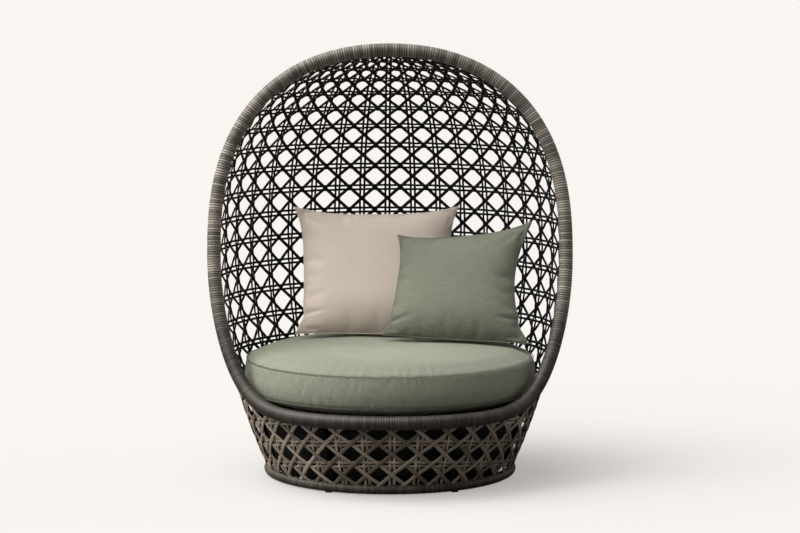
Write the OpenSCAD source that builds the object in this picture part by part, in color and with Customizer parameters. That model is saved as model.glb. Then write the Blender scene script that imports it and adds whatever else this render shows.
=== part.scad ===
// Pod chair: an egg-shaped open cane weave on a wrapped tube frame, with a round seat cushion
// and two loose pillows. Millimetres, +Z up, the front faces -Y, origin on the floor below the crown.

/* [Shell] */
// Radius of the weave at its widest level
shell_r = 560; // [545:1:580]
// Height of the widest level
belly_z = 700; // [660:5:740]
// Height of the crown of the weave
crown_z = 1363; // [1300:1:1420]
// Radius of the weave at floor level
foot_r = 386; // [370:1:400]

/* [Rim] */
// Outer diameter of the wrapped rim
rim_d = 44; // [40:1:50]
// Thickness of the wicker wrap on the rim
rim_wrap_t = 3; // [2:0.5:4]
// Height of the rim's centreline across the front
rim_front_z = 242; // [236:1:256]
// How far the top of the rim stands behind the axis
rim_back = 80; // [75:1:100]
// How far the rim's centreline lies outside the weave
rim_out = 8; // [6:1:10]

/* [Weave] */
// Number of strand pairs round the shell
columns = 36; // [32:2:36]
// Width of a stake or hoop strand
strand_w = 5; // [4:0.5:6]
// Thickness of a stake or hoop strand
strand_t = 4; // [3:0.5:4.5]
// Distance between the two strands of a pair
pair_gap = 14; // [12:0.5:16]
// Width of a diagonal strand
diagonal_w = 8; // [6:0.5:9]
// Thickness of a diagonal strand
diagonal_t = 3; // [2:0.5:3.5]
// Gap between strands that cross
layer_gap = 0.9; // [0.7:0.1:1]
// How much higher the skirt's rows stand at the front
front_lift = 88; // [60:2:100]

/* [Base] */
// Outer diameter of the wrapped foot ring
foot_d = 31; // [28:1:34]
// Thickness of the wicker wrap on the foot ring
foot_wrap_t = 3; // [2:0.5:4]
// Number of glides and of posts
post_count = 6; // [5:1:8]
// Diameter of a glide
glide_d = 24; // [20:1:28]
// Height of the foot ring above the floor
glide_lift = 2; // [1:0.5:4]
// Diameter of a post
post_d = 18; // [14:1:18]

/* [Seat frame] */
// Radius of the seat ring's centreline
seat_ring_r = 448; // [438:1:449]
// Diameter of the seat ring's tube
seat_ring_d = 25; // [22:1:28]
// Height of the seat ring's centreline
seat_ring_z = 236; // [230:1:240]
// Number of rails across the seat ring
rail_count = 5; // [4:1:6]
// Diameter of a rail
rail_d = 20; // [16:1:22]
// Number of webbing straps
strap_count = 9; // [7:1:11]
// Width of a strap
strap_w = 60; // [50:1:64]
// Thickness of a strap
strap_t = 2.5; // [2:0.5:3]
// Number of brackets between the seat ring and the rim
bracket_count = 5; // [3:2:7]

/* [Seat cushion] */
// Largest radius of the seat cushion
cushion_r = 474; // [460:1:478]
// Height of the boxed band between its seams
cushion_band_h = 102; // [92:1:120]
// Rise of the top crown above the seam
cushion_crown = 36; // [26:1:44]
// Depth of the rounded underside below its seam
cushion_under = 27; // [20:1:34]
// How far the seams are drawn in from the band
cushion_draw = 7; // [4:1:10]
// Thickness of the covers
cover_t = 1.2; // [1:0.1:2]

/* [Pillows] */
// Width of the taupe pillow
taupe_w = 545; // [500:5:560]
// Height of the taupe pillow
taupe_h = 500; // [460:5:510]
// Thickness of the taupe pillow
taupe_t = 150; // [120:5:160]
// Width of the green pillow
green_w = 464; // [440:5:480]
// Height of the green pillow on its short side
green_h = 376; // [350:2:400]
// Height of the green pillow on its long side
green_long_h = 450; // [420:2:460]
// Thickness of the green pillow
green_t = 135; // [110:5:145]

/* [Hidden] */

seat_clear = 0.3;
joint_clear = 0.3;
round_sides = 48;

// Exponents that share out the shell's curvature between its sides, its crown and its foot
side_share = 2.22;
crown_share = 2.62;
foot_share = 1.85;
low_steps = 20;
high_steps = 44;

// The meridian from the floor to the crown: distance along it, radius, height
function low_r(z) = shell_r - (shell_r - foot_r) * pow((belly_z - z) / belly_z, foot_share);
function low_point(i) = [low_r(belly_z * i / low_steps), belly_z * i / low_steps];
function high_point(a) = [shell_r * pow(cos(a), 2 / side_share),
    belly_z + (crown_z - belly_z) * pow(sin(a), 2 / crown_share)];
RZ = concat([for (i = [0:low_steps]) low_point(i)],
    [for (i = [1:high_steps]) high_point(90 * i / high_steps)]);
RUN = [for (i = 0, s = 0; i < len(RZ); i = i + 1, s = i < len(RZ) ? s + norm(RZ[i] - RZ[i - 1]) : s) s];
R_OF_S = [for (i = [0:len(RZ) - 1]) [RUN[i], RZ[i][0]]];
Z_OF_S = [for (i = [0:len(RZ) - 1]) [RUN[i], RZ[i][1]]];
S_OF_Z = [for (i = [0:len(RZ) - 1]) [RZ[i][1], RUN[i]]];
S_OF_R = [for (i = [len(RZ) - 1:-1:low_steps]) [RZ[i][0], RUN[i]]];
slope_step = shell_r / 100;

// Radius, height and outward normal at a distance along the meridian, moved out by a set amount
function tangent_at(s) = let (d = [lookup(s + slope_step, R_OF_S) - lookup(s - slope_step, R_OF_S),
    lookup(s + slope_step, Z_OF_S) - lookup(s - slope_step, Z_OF_S)]) d / norm(d);
function normal_at(s) = let (t = tangent_at(s)) [t[1], -t[0]];
function section_at(s, out) = [lookup(s, R_OF_S), lookup(s, Z_OF_S)] + out * normal_at(s);
function turn(rz, a) = [rz[0] * sin(a), -rz[0] * cos(a), rz[1]];

// Rows are counted from the floor. Row 8 is where they stand furthest apart.
mid_row = 8;
mid_row_z = 599;
mid_row_step = 88;
end_row_step = 70;
low_fade_rows = 6;
high_fade_rows = 4;
last_row = 22;
function row_run(n, fade) = end_row_step * n + (mid_row_step - end_row_step) * fade * (1 - exp(-n / fade));
function row_s(v) = lookup(mid_row_z, S_OF_Z) + (v < mid_row ? -row_run(mid_row - v, low_fade_rows)
    : row_run(v - mid_row, high_fade_rows));

// Columns are counted from the middle of the front, a little wider apart there than at the back
column_share = 0.09;
half_turn_columns = columns / 2;
function column_angle(u) = 360 / columns * u + column_share * 180 / PI * sin(360 / columns * u);

// The lowest rows stand higher at the front than at the back
lift_share = 2.2;
lift_full_row = 2.5;
lift_end_row = 5.5;
function row_lift(v) = front_lift * max(0, min(1, (lift_end_row - v) / (lift_end_row - lift_full_row)));
function run_at(a, v) = row_s(v) + row_lift(v) * pow((1 + cos(a)) / 2, lift_share);

// Layers of the weave, from the diagonals outside to the stakes inside, clear of the straight steps of a hoop
hoop_dip = 1.4;
left_out = 0;
right_out = left_out + diagonal_t + layer_gap;
hoop_out = left_out - (strand_w + diagonal_t) / 2 - layer_gap;
stake_out = hoop_out - (strand_w + strand_t) / 2 - layer_gap - hoop_dip;

// The rim in side view rises from a level front to a nearly upright hoop that leans back
rim_r = rim_d / 2;
rise_share = 3.9;
function rim_section(s) = section_at(s, rim_out);
front_s = lookup(rim_front_z, S_OF_Z);
rim_front_r = rim_section(front_s)[0];
rim_depth = rim_front_r + rim_back;
rim_rise = crown_z + rim_out - rim_front_z;
function rim_share(y) = max(0, (rim_front_r + y) / rim_depth);
function rim_height(y) = rim_front_z + rim_rise * pow(rim_share(y), rise_share);
function rim_slope(y) = rise_share * rim_rise / rim_depth * pow(rim_share(y), rise_share - 1);
function rim_y(z) = rim_depth * pow(max(0, (z - rim_front_z) / rim_rise), 1 / rise_share) - rim_front_r;
// Distance in side view from a point of the shell to the rim's centreline, positive inside the weave
function rim_distance(p) = (rim_height(p[1]) - p[2]) / sqrt(1 + pow(rim_slope(p[1]), 2));

// The rim's centreline: an arc across the front, then both sides up to the top
front_rings = 9;
side_rings = 18;
front_arc = 66;
function front_run(a, tries = 5, s = front_s) = tries == 0 ? s
    : front_run(a, tries - 1, lookup(rim_height(-rim_section(s)[0] * cos(a)) - rim_out
        * normal_at(s)[1], S_OF_Z));
function top_run(low, high, tries = 16) = let (mid = (low + high) / 2, rz = rim_section(mid))
    tries == 0 ? mid : rz[0] > rim_y(rz[1]) ? top_run(mid, high, tries - 1) : top_run(low, mid, tries - 1);
corner_s = front_run(front_arc);
top_s = top_run(lookup(2 * rim_back, S_OF_R), lookup(rim_back / 2, S_OF_R));
side_reach = sqrt(pow(top_s - corner_s + rim_back, 2) - pow(rim_back, 2));
function side_s(i) = top_s + rim_back - norm([side_reach * (1 - i / side_rings), rim_back]);
function rim_side_point(s) = let (rz = rim_section(s), y = rim_y(rz[1]))
    [sqrt(max(0, rz[0] * rz[0] - y * y)), y, rz[1]];
RIGHT_RIM = concat([for (i = [0:front_rings - 1]) let (a = front_arc * i / front_rings, s = front_run(a))
        turn(rim_section(s), a)],
    [for (i = [0:side_rings - 1]) rim_side_point(side_s(i))],
    [let (rz = rim_section(top_s)) [0, rz[0], rz[1]]]);
side_count = len(RIGHT_RIM);
RIM = concat(RIGHT_RIM, [for (i = [side_count - 2:-1:1]) [-RIGHT_RIM[i][0], RIGHT_RIM[i][1], RIGHT_RIM[i][2]]]);
function rim_point(i) = RIM[(i + 2 * len(RIM)) % len(RIM)];

// A ring of points round a path: along is the path's direction, out is one way across it
function unit(v) = v / norm(v);
function across(along, out) = unit(cross(along, out));
function round_ring(p, along, out, radius, sides) = let (b = across(along, out), n = cross(b, along))
    [for (k = [0:sides - 1]) p + radius * (cos(360 * k / sides) * n + sin(360 * k / sides) * b)];
function flat_ring(p, along, out, w, t) = let (b = across(along, out), n = unit(cross(b, along)))
    [p + n * t / 2, p + b * w / 2 - n * t / 2, p - b * w / 2 - n * t / 2];

// Triangles between two rings of points, and over the end of a tube
function band_faces(a, b, sides) = [for (k = [0:sides - 1]) let (n = (k + 1) % sides)
    each [[a + k, b + k, b + n], [a + k, b + n, a + n]]];
function cap_faces(first, sides, flip) = [for (k = [1:sides - 2])
    flip ? [first, first + k + 1, first + k] : [first, first + k, first + k + 1]];
// Several tubes, each a list of rings, drawn as separate closed solids
function tube_faces(first, rings, sides) = concat(cap_faces(first, sides, false),
    [for (i = [0:rings - 2]) each band_faces(first + i * sides, first + (i + 1) * sides, sides)],
    cap_faces(first + (rings - 1) * sides, sides, true));
module tubes(strands, sides) {
    starts = [for (i = 0, s = 0; i < len(strands); s = s + len(strands[i]) * sides, i = i + 1) s];
    polyhedron(points = [for (strand = strands) for (ring = strand) each ring],
        faces = [for (i = [0:len(strands) - 1]) each tube_faces(starts[i], len(strands[i]), sides)]);
}

// A sleeve has an outer and an inner ring at each step
function sleeve_faces(rings, sides) = let (step = 2 * sides, last = (rings - 1) * step) concat(
    [for (i = [0:rings - 2]) each band_faces(i * step, (i + 1) * step, sides)],
    [for (i = [0:rings - 2]) each band_faces((i + 1) * step + sides, i * step + sides, sides)],
    band_faces(sides, 0, sides), band_faces(last, last + sides, sides));
module sleeve(rings, sides) {
    polyhedron(points = [for (ring = rings) each ring], faces = sleeve_faces(len(rings), sides));
}

// Rings of the rim from one step to another, at a given radius
rim_sides = 8;
tube_sides = 6;
function rim_ring(i, radius, sides) = let (p = rim_point(i), along = unit(rim_point(i + 1) - rim_point(i - 1)))
    round_ring(p, along, [p[0], p[1], p[2] - belly_z], radius, sides);
function rim_rings(from, to, radius) = [for (i = [from:to]) rim_ring(i, radius, tube_sides)];
hood_first = front_rings;
hood_last = len(RIM) - front_rings;
bore_r = rim_r - rim_wrap_t;
tube_r = bore_r * cos(180 / rim_sides) - joint_clear;

module rim_hood_tube() {
    color("#9a9c9e") tubes([rim_rings(hood_first, hood_last, tube_r)], tube_sides);
}
module rim_front_tube() {
    color("#9a9c9e") tubes([rim_rings(-front_rings, front_rings, tube_r)], tube_sides);
}
function wrap_rings(from, to) = [for (i = [from:to])
    concat(rim_ring(i, rim_r, rim_sides), rim_ring(i, bore_r, rim_sides))];
module rim_hood_wrap() {
    color("#746b62") sleeve(wrap_rings(hood_first, hood_last), rim_sides);
}
module rim_front_wrap() {
    color("#746b62") sleeve(wrap_rings(-front_rings, front_rings), rim_sides);
}

// Strands stop where they meet the rim or the foot ring
end_gap = 1;
foot_end_gap = 1.3;
slant_gap = 3.6;
keep_share = 0.4;
pair_full_r = 220;
foot_ring_z = glide_lift + foot_d / 2;
foot_ring_r = lookup(lookup(foot_ring_z, S_OF_Z), R_OF_S);
function rim_gap(p, out) = let (d = rim_distance(p)) d < 0 ? d : norm([d, rim_out - out]) - rim_r;
function foot_gap(p) = p[2] < foot_ring_z ? -1
    : norm([norm([p[0], p[1]]) - foot_ring_r, p[2] - foot_ring_z]) - foot_d / 2;
function weave_depth(p, out, rim_end, foot_end) = min(rim_gap(p, out) - rim_end, foot_gap(p) - foot_end);
// A place on the weave: column, row, then shift along the row, shift up the meridian, layer
function weave_at(u, v, side, up, out) = let (a = column_angle(u), s = run_at(a, v) + up,
    rz = section_at(s, out), n = normal_at(s), shift = side * min(1, rz[0] / pair_full_r))
    [turn(rz, a) + shift * [cos(a), sin(a), 0], turn(n, a)];
function depth_at(q, o) = weave_depth(q[0], o[2], o[3], o[4]);

// A strand runs along a list of stations [u, v]; it is cut where it leaves the weave
// The list o holds its shifts, its layer and the gaps left at the rim and at the foot ring
function place(st, o) = weave_at(st[0], st[1], o[0], o[1], o[2]);
function cut_station(inner, outer, o, tries = 9) = tries == 0 ? inner
    : let (mid = (inner + outer) / 2) depth_at(place(mid, o), o) > 0
        ? cut_station(mid, outer, o, tries - 1) : cut_station(inner, mid, o, tries - 1);
function runs(stations, o) = let (inside = [for (st = stations) depth_at(place(st, o), o) > 0],
    last = len(stations) - 1,
    starts = [for (i = [0:last]) if (inside[i] && (i == 0 || !inside[i - 1])) i],
    ends = [for (i = [0:last]) if (inside[i] && (i == last || !inside[i + 1])) i])
    [for (k = [0:1:len(starts) - 1]) let (a = starts[k], b = ends[k]) if (b > a) let (
        low = a > 0 ? cut_station(stations[a], stations[a - 1], o) : stations[a],
        high = b < last ? cut_station(stations[b], stations[b + 1], o) : stations[b],
        step = norm(stations[b] - stations[b - 1]) * keep_share) concat([low],
        [for (i = [a:b]) if (norm(stations[i] - low) > step && norm(stations[i] - high) > step) stations[i]],
        [high])];
function strand_rings(stations, o, w, t) = let (q = [for (st = stations) place(st, o)], n = len(q))
    [for (i = [0:n - 1]) let (along = unit(q[min(i + 1, n - 1)][0] - q[max(i - 1, 0)][0]))
        flat_ring(q[i][0], along, q[i][1], w, t)];

// Stakes run up the shell in pairs to the rim
stake_rows = concat([-1, 0.5, 1.5], [for (v = [2.5:2:16.5]) v], [for (v = [18:1.5:last_row]) v]);
function stake_set(low) = [for (u = [0:columns - 1]) for (side = [-1, 1] * pair_gap / 2)
    let (rim_end = blend(end_gap, slant_gap, pow(sin(column_angle(u)), 2)),
        o = [side, 0, stake_out, rim_end, foot_end_gap]) for (run = runs([for (v = stake_rows) [u, v]], o))
        if ((run[len(run) - 1][1] < mid_row) == low) strand_rings(run, o, strand_w, strand_t)];
module hood_stakes() {
    color("#5d564f") tubes(stake_set(false), 3);
}
module skirt_stakes() {
    color("#5d564f") tubes(stake_set(true), 3);
}

// Hoops lie between the rows of openings. Those above the lift are true arcs.
first_arc_row = 5.5;
first_high_row = 12.5;
last_arc_row = 20.5;
back_angle = 180;
function clip_angle(s, low = 0, high = back_angle, tries = 14) = let (mid = (low + high) / 2)
    tries == 0 ? high
    : weave_depth(turn(section_at(s, hoop_out), mid), hoop_out, slant_gap, slant_gap) > 0
        ? clip_angle(s, low, mid, tries - 1) : clip_angle(s, mid, high, tries - 1);
module hoop_arc(s, d) {
    rz = section_at(s, hoop_out);
    a = clip_angle(s);
    rotate([0, 0, a - 90]) rotate_extrude(angle = 2 * (back_angle - a), $fn = 2 * round_sides)
        translate([rz[0], rz[1]]) circle(d = d, $fn = round_sides);
}
module hoop_pairs(from, to) {
    color("#655d56") for (v = [from:1:to]) for (up = [-1, 1] * pair_gap / 2) hoop_arc(row_s(v) + up, strand_w);
}
module hood_hoops() {
    hoop_pairs(first_high_row, last_arc_row);
}
module back_hoops() {
    hoop_pairs(first_arc_row, first_high_row - 1);
}
// How far the low hoops stand out from the hood's, towards the diagonals that hold them
hoop_rise = 1.1;
seam_share = 0.04;
function ring_stations(v) = [for (i = [0:columns]) [half_turn_columns + seam_share
    + (columns - 2 * seam_share) * i / columns, v]];
module low_hoops() {
    color("#655d56") tubes([for (v = [0.5:1:first_arc_row - 1]) for (up = [-1, 1] * pair_gap / 2)
        let (o = [0, up, hoop_out + hoop_rise, slant_gap, slant_gap]) for (run = runs(ring_stations(v), o))
            strand_rings(run, o, strand_w, strand_w)], 3);
}

// Diagonals cross on the hoops and on the stakes, and leave an open diamond in every cell
diagonal_rows = [for (v = [-0.5:0.5:last_row + 1]) v];
function diagonals(lean, out) = let (o = [0, 0, out, slant_gap, slant_gap]) [for (m = [0:columns - 1])
    for (run = runs([for (v = diagonal_rows) [m + lean * v, v]], o))
        strand_rings(run, o, diagonal_w, diagonal_t)];
module left_diagonals() {
    color("#7d746a") tubes(diagonals(-1, left_out), 3);
}
module right_diagonals() {
    color("#7d746a") tubes(diagonals(1, right_out), 3);
}

// The foot ring is a tube in a wicker sleeve, on glides
module ring_bar(r, z, d) {
    rotate_extrude($fn = 2 * round_sides) translate([r, z]) circle(d = d, $fn = round_sides);
}
foot_tube_d = foot_d - 2 * foot_wrap_t - 2 * joint_clear;
module foot_ring_tube() {
    color("#9a9c9e") ring_bar(foot_ring_r, foot_ring_z, foot_tube_d);
}
module foot_ring_wrap() {
    color("#6d645b") rotate_extrude($fn = 2 * round_sides) translate([foot_ring_r, foot_ring_z])
        difference() {
            circle(d = foot_d, $fn = round_sides);
            circle(d = foot_d - 2 * foot_wrap_t, $fn = round_sides);
        }
}
// Spread evenly round the axis, starting beside the middle of the front
module round_axis(count) {
    for (i = [0:count - 1]) rotate([0, 0, 360 / count * (i + 0.5)]) children();
}
module glides() {
    color("#2b2b2b") difference() {
        round_axis(post_count) translate([0, -foot_ring_r, 0])
            cylinder(h = foot_ring_z - foot_d / 4, d = glide_d, $fn = round_sides);
        ring_bar(foot_ring_r, foot_ring_z, foot_d + 2 * joint_clear);
    }
}

// Posts stand inside the weave, between the foot ring and the seat ring they are welded to
post_bite = 2.5;
post_foot_r = foot_ring_r - foot_d / 2 - post_d / 2 + post_bite;
post_top_r = seat_ring_r - post_d / 2;
post_angle = atan2(post_top_r - post_foot_r, seat_ring_z - foot_ring_z);
post_length = norm([post_top_r - post_foot_r, seat_ring_z - foot_ring_z]);
module posts() {
    color("#8b8d8f") difference() {
        round_axis(post_count) translate([0, -post_foot_r, foot_ring_z]) rotate([post_angle, 0, 0])
            cylinder(h = post_length, d = post_d, $fn = round_sides);
        ring_bar(foot_ring_r, foot_ring_z, foot_d + 2 * joint_clear);
        ring_bar(seat_ring_r, seat_ring_z, seat_ring_d + 2 * joint_clear);
    }
}
// The liner is a thin dark sheet bent round inside the posts. It closes the view through the skirt.
liner_t = 1;
liner_drop = 2;
function liner_r(z) = blend(post_foot_r, post_top_r, (z - foot_ring_z) / (seat_ring_z - foot_ring_z))
    - post_d / 2 / cos(post_angle) - joint_clear;
module base_liner() {
    high = seat_ring_z + seat_ring_d / 2 - rail_d - liner_drop;
    color("#1d1b1a") rotate_extrude($fn = 2 * round_sides) polygon([[liner_r(foot_ring_z), foot_ring_z],
        [liner_r(high), high], [liner_r(high) - liner_t, high], [liner_r(foot_ring_z) - liner_t, foot_ring_z]]);
}
module seat_ring() {
    color("#8b8d8f") ring_bar(seat_ring_r, seat_ring_z, seat_ring_d);
}
// Rails run front to back inside the seat ring, flush with its top
rail_z = seat_ring_z + seat_ring_d / 2 - rail_d / 2;
rail_pitch = 2 * seat_ring_r / (rail_count + 1);
module seat_rails() {
    color("#8b8d8f") difference() {
        for (i = [1:rail_count]) let (x = -seat_ring_r + rail_pitch * i, y = sqrt(seat_ring_r * seat_ring_r - x * x))
            translate([x, -y, rail_z]) rotate([-90, 0, 0]) cylinder(h = 2 * y, d = rail_d, $fn = round_sides);
        ring_bar(seat_ring_r, seat_ring_z, seat_ring_d + 2 * joint_clear);
    }
}
// Straps lie across the rails and end on top of the seat ring
strap_z = seat_ring_z + seat_ring_d / 2 + joint_clear;
strap_pitch = 2 * seat_ring_r / (strap_count + 1);
function strap_y(i) = -seat_ring_r + strap_pitch * i;
function strap_x(i) = let (far = abs(strap_y(i)) + strap_w / 2) sqrt(seat_ring_r * seat_ring_r - far * far);
module seat_straps() {
    color("#35332f") for (i = [1:strap_count]) translate([-strap_x(i), strap_y(i) - strap_w / 2, strap_z])
        cube([2 * strap_x(i), strap_w, strap_t]);
}
rivet_d = 8;
rivet_head_t = 1.2;
module strap_rivets() {
    color("#77797b") for (i = [1:strap_count]) for (x = [-1, 1] * (strap_x(i) - rivet_d))
        translate([x, strap_y(i), strap_z + strap_t]) cylinder(h = rivet_head_t, d = rivet_d, $fn = round_sides);
}

// Brackets carry the front of the rim from the seat ring
bracket_t = 5;
bracket_w = 30;
bracket_pitch = 22;
module rim_brackets() {
    color("#8b8d8f") difference() {
        for (i = [0:bracket_count - 1]) rotate([0, 0, bracket_pitch * (i - (bracket_count - 1) / 2)])
            translate([-bracket_w / 2, -rim_front_r, rim_front_z - bracket_t / 2])
                cube([bracket_w, rim_front_r - seat_ring_r, bracket_t]);
        ring_bar(seat_ring_r, seat_ring_z, seat_ring_d + 2 * joint_clear);
        ring_bar(rim_front_r, rim_front_z, rim_d + 2 * joint_clear);
    }
}

// The seat cushion: a crowned top, a bulging band drawn in at both seams, and a rounded base
cushion_z = strap_z + strap_t + seat_clear;
low_seam_z = cushion_z + cushion_under;
high_seam_z = low_seam_z + cushion_band_h;
seam_r = cushion_r - cushion_draw;
profile_steps = 10;
base_flat_share = 0.84;
function arc_share(t) = 1 - t * t;
function crown_rise(t) = sqrt(max(0, 1 - pow(t, 4)));
function top_line(inset) = [for (i = [0:profile_steps]) let (t = sin(90 * i / profile_steps))
    [(seam_r - inset) * t, high_seam_z + (cushion_crown - inset) * crown_rise(t)]];
function band_line(inset) = [for (i = [0:profile_steps]) let (t = 2 * i / profile_steps - 1)
    [seam_r - inset + cushion_draw * arc_share(t), (low_seam_z + high_seam_z) / 2 + t * cushion_band_h / 2]];
function base_line(inset) = [for (i = [0:profile_steps]) let (a = 90 * i / profile_steps)
    [seam_r * base_flat_share + (seam_r * (1 - base_flat_share) - inset) * sin(a),
     low_seam_z - (cushion_under - inset) * cos(a)]];
function reversed(list) = [for (i = [len(list) - 1:-1:0]) list[i]];
module revolve(points) {
    rotate_extrude($fn = 2 * round_sides) polygon(points);
}
module seat_cover_top() {
    color("#9da18a") revolve(concat(top_line(0), reversed(top_line(cover_t))));
}
module seat_cover_band() {
    color("#7f8570") revolve(concat(band_line(0), reversed(band_line(cover_t))));
}
module seat_cover_base() {
    color("#70765f") revolve(concat([[0, cushion_z]], base_line(0), reversed(base_line(cover_t)),
        [[0, cushion_z + cover_t]]));
}
module seat_foam() {
    inset = cover_t + seat_clear;
    color("#d8d2c0") revolve(concat([[0, cushion_z + inset]], base_line(inset), band_line(inset),
        reversed(top_line(inset))));
}

// A pillow is two panels sewn at the edge over a fill. Its corners stay out, its sides draw in.
pillow_steps = 8;
puff_share = 0.42;
draw_share = 0.07;
foot_draw_share = 0.01;
fill_share = 0.985;
seam_t = 1.6;
panel_gap = 0.15;
function blend(a, b, t) = a + (b - a) * t;
// Shares of the way across and up, from -1 to 1, to a place in the pillow's own plane
function pillow_place(a, b, w, left_h, right_h, size) = let (h = blend(left_h, right_h, (a + 1) / 2))
    [size * a * w / 2 * (1 - draw_share * (1 - b * b)),
     size * b * h / 2 * (1 - (b < 0 ? foot_draw_share : draw_share) * (1 - a * a))];
function puff(a, b) = pow((1 - a * a) * (1 - b * b), puff_share);
function pillow_sheet(n, w, left_h, right_h, size, edge, mid) = [for (j = [0:n]) for (i = [0:n])
    let (a = sin(90 * (2 * i / n - 1)), b = sin(90 * (2 * j / n - 1)), p = pillow_place(a, b, w, left_h, right_h, size))
    [p[0], -(edge + (mid - edge) * puff(a, b)), p[1]]];
function sheet_faces(n, first, flip) = [for (j = [0:n - 1]) for (i = [0:n - 1])
    let (a = first + j * (n + 1) + i, b = a + n + 1) for (q = [[a, b, b + 1], [a, b + 1, a + 1]])
        flip ? reversed(q) : q];
function edge_loop(n) = concat([for (i = [0:n - 1]) i], [for (j = [0:n - 1]) j * (n + 1) + n],
    [for (i = [n:-1:1]) n * (n + 1) + i], [for (j = [n:-1:1]) j * (n + 1)]);
module quilt(front, back, n) {
    loop = edge_loop(n);
    count = (n + 1) * (n + 1);
    polyhedron(points = concat(front, back), faces = concat(sheet_faces(n, 0, false),
        sheet_faces(n, count, true), [for (k = [0:len(loop) - 1]) let (a = loop[k], b = loop[(k + 1) % len(loop)])
            each [[a, b, b + count], [a, b + count, a + count]]]));
}
module pillow_panel(w, left_h, right_h, t, side) {
    outer = pillow_sheet(pillow_steps, w, left_h, right_h, 1, seam_t, t / 2);
    inner = pillow_sheet(pillow_steps, w, left_h, right_h, 1, panel_gap, t / 2 - cover_t);
    mirror([0, side, 0]) quilt(outer, inner, pillow_steps);
}
module pillow_fill(w, left_h, right_h, t) {
    front = pillow_sheet(pillow_steps, w, left_h, right_h, fill_share, panel_gap, t / 2 - 3 * cover_t);
    back = [for (p = front) [p[0], -p[1], p[2]]];
    quilt(front, back, pillow_steps);
}
// Both pillows stand on the cushion. The taupe one leans on the weave and the green one on the taupe one.
taupe_x = -41;
taupe_y = 297.4;
taupe_lean = 36;
taupe_turn = 1.5;
taupe_roll = 0;
green_x = 227;
green_ahead = 186.8;
green_lean = 33;
green_turn = -12;
green_roll = 3;
green_y = taupe_y - green_ahead;
function rolled(p, a) = [p[0] * cos(a) - p[2] * sin(a), p[1], p[0] * sin(a) + p[2] * cos(a)];
function leaned(p, lean) = [p[0], p[1] * cos(lean) + p[2] * sin(lean), p[2] * cos(lean) - p[1] * sin(lean)];
function turned(p, a) = [p[0] * cos(a) - p[1] * sin(a), p[0] * sin(a) + p[1] * cos(a), p[2]];
function cushion_top_at(x, y) = high_seam_z + cushion_crown * crown_rise(norm([x, y]) / seam_r);
// Height of a pillow's middle at which its lowest place clears the crown of the cushion
function rest_z(x, y, turn, lean, roll, front) = seat_clear + max([for (p = front) for (side = [-1, 1])
    let (q = turned(leaned(rolled([p[0], side * p[1], p[2]], roll), lean), turn)) cushion_top_at(x + q[0], y + q[1]) - q[2]]);
taupe_z = rest_z(taupe_x, taupe_y, taupe_turn, taupe_lean, taupe_roll,
    pillow_sheet(pillow_steps, taupe_w, taupe_h, taupe_h, 1, seam_t, taupe_t / 2));
green_z = rest_z(green_x, green_y, green_turn, green_lean, green_roll,
    pillow_sheet(pillow_steps, green_w, green_h, green_long_h, 1, seam_t, green_t / 2));
module taupe_pose() {
    translate([taupe_x, taupe_y, taupe_z]) rotate([0, 0, taupe_turn]) rotate([-taupe_lean, 0, 0])
        rotate([0, -taupe_roll, 0]) children();
}
module green_pose() {
    translate([green_x, green_y, green_z]) rotate([0, 0, green_turn]) rotate([-green_lean, 0, 0])
        rotate([0, -green_roll, 0]) children();
}
module taupe_front() {
    color("#b9a897") taupe_pose() pillow_panel(taupe_w, taupe_h, taupe_h, taupe_t, 0);
}
module taupe_back() {
    color("#b3a291") taupe_pose() pillow_panel(taupe_w, taupe_h, taupe_h, taupe_t, 1);
}
module taupe_fill() {
    color("#ece8df") taupe_pose() pillow_fill(taupe_w, taupe_h, taupe_h, taupe_t);
}
module green_front() {
    color("#7f8a72") green_pose() pillow_panel(green_w, green_h, green_long_h, green_t, 0);
}
module green_back() {
    color("#79846c") green_pose() pillow_panel(green_w, green_h, green_long_h, green_t, 1);
}
module green_fill() {
    color("#ece8df") green_pose() pillow_fill(green_w, green_h, green_long_h, green_t);
}

rim_hood_tube();
rim_front_tube();
rim_hood_wrap();
rim_front_wrap();
foot_ring_tube();
foot_ring_wrap();
glides();
posts();
base_liner();
seat_ring();
seat_rails();
seat_straps();
strap_rivets();
rim_brackets();
hood_stakes();
skirt_stakes();
hood_hoops();
back_hoops();
low_hoops();
left_diagonals();
right_diagonals();
seat_cover_top();
seat_cover_band();
seat_cover_base();
seat_foam();
taupe_front();
taupe_back();
taupe_fill();
green_front();
green_back();
green_fill();
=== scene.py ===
"""Pod chair: an open cane-weave shell on a wrapped tube frame, a round seat cushion and two loose
pillows. Metres, the front faces -Y, the floor is at z = 0."""

import math

import bpy
import numpy as np
from mathutils import Matrix, Vector


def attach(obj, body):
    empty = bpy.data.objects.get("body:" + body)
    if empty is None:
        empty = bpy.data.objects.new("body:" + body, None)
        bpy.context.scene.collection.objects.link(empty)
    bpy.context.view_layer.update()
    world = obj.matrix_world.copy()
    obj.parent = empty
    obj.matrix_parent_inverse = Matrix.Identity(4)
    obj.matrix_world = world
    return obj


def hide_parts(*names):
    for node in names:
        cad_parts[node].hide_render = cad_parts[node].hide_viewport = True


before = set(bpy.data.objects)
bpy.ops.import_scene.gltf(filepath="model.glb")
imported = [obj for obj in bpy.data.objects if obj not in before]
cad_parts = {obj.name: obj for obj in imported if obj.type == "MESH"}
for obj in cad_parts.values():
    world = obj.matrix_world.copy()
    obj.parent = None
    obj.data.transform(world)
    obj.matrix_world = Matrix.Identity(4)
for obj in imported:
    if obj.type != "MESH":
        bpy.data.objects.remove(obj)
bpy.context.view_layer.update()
scene = bpy.context.scene
rng = np.random.default_rng(7)


# Node helpers


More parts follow.
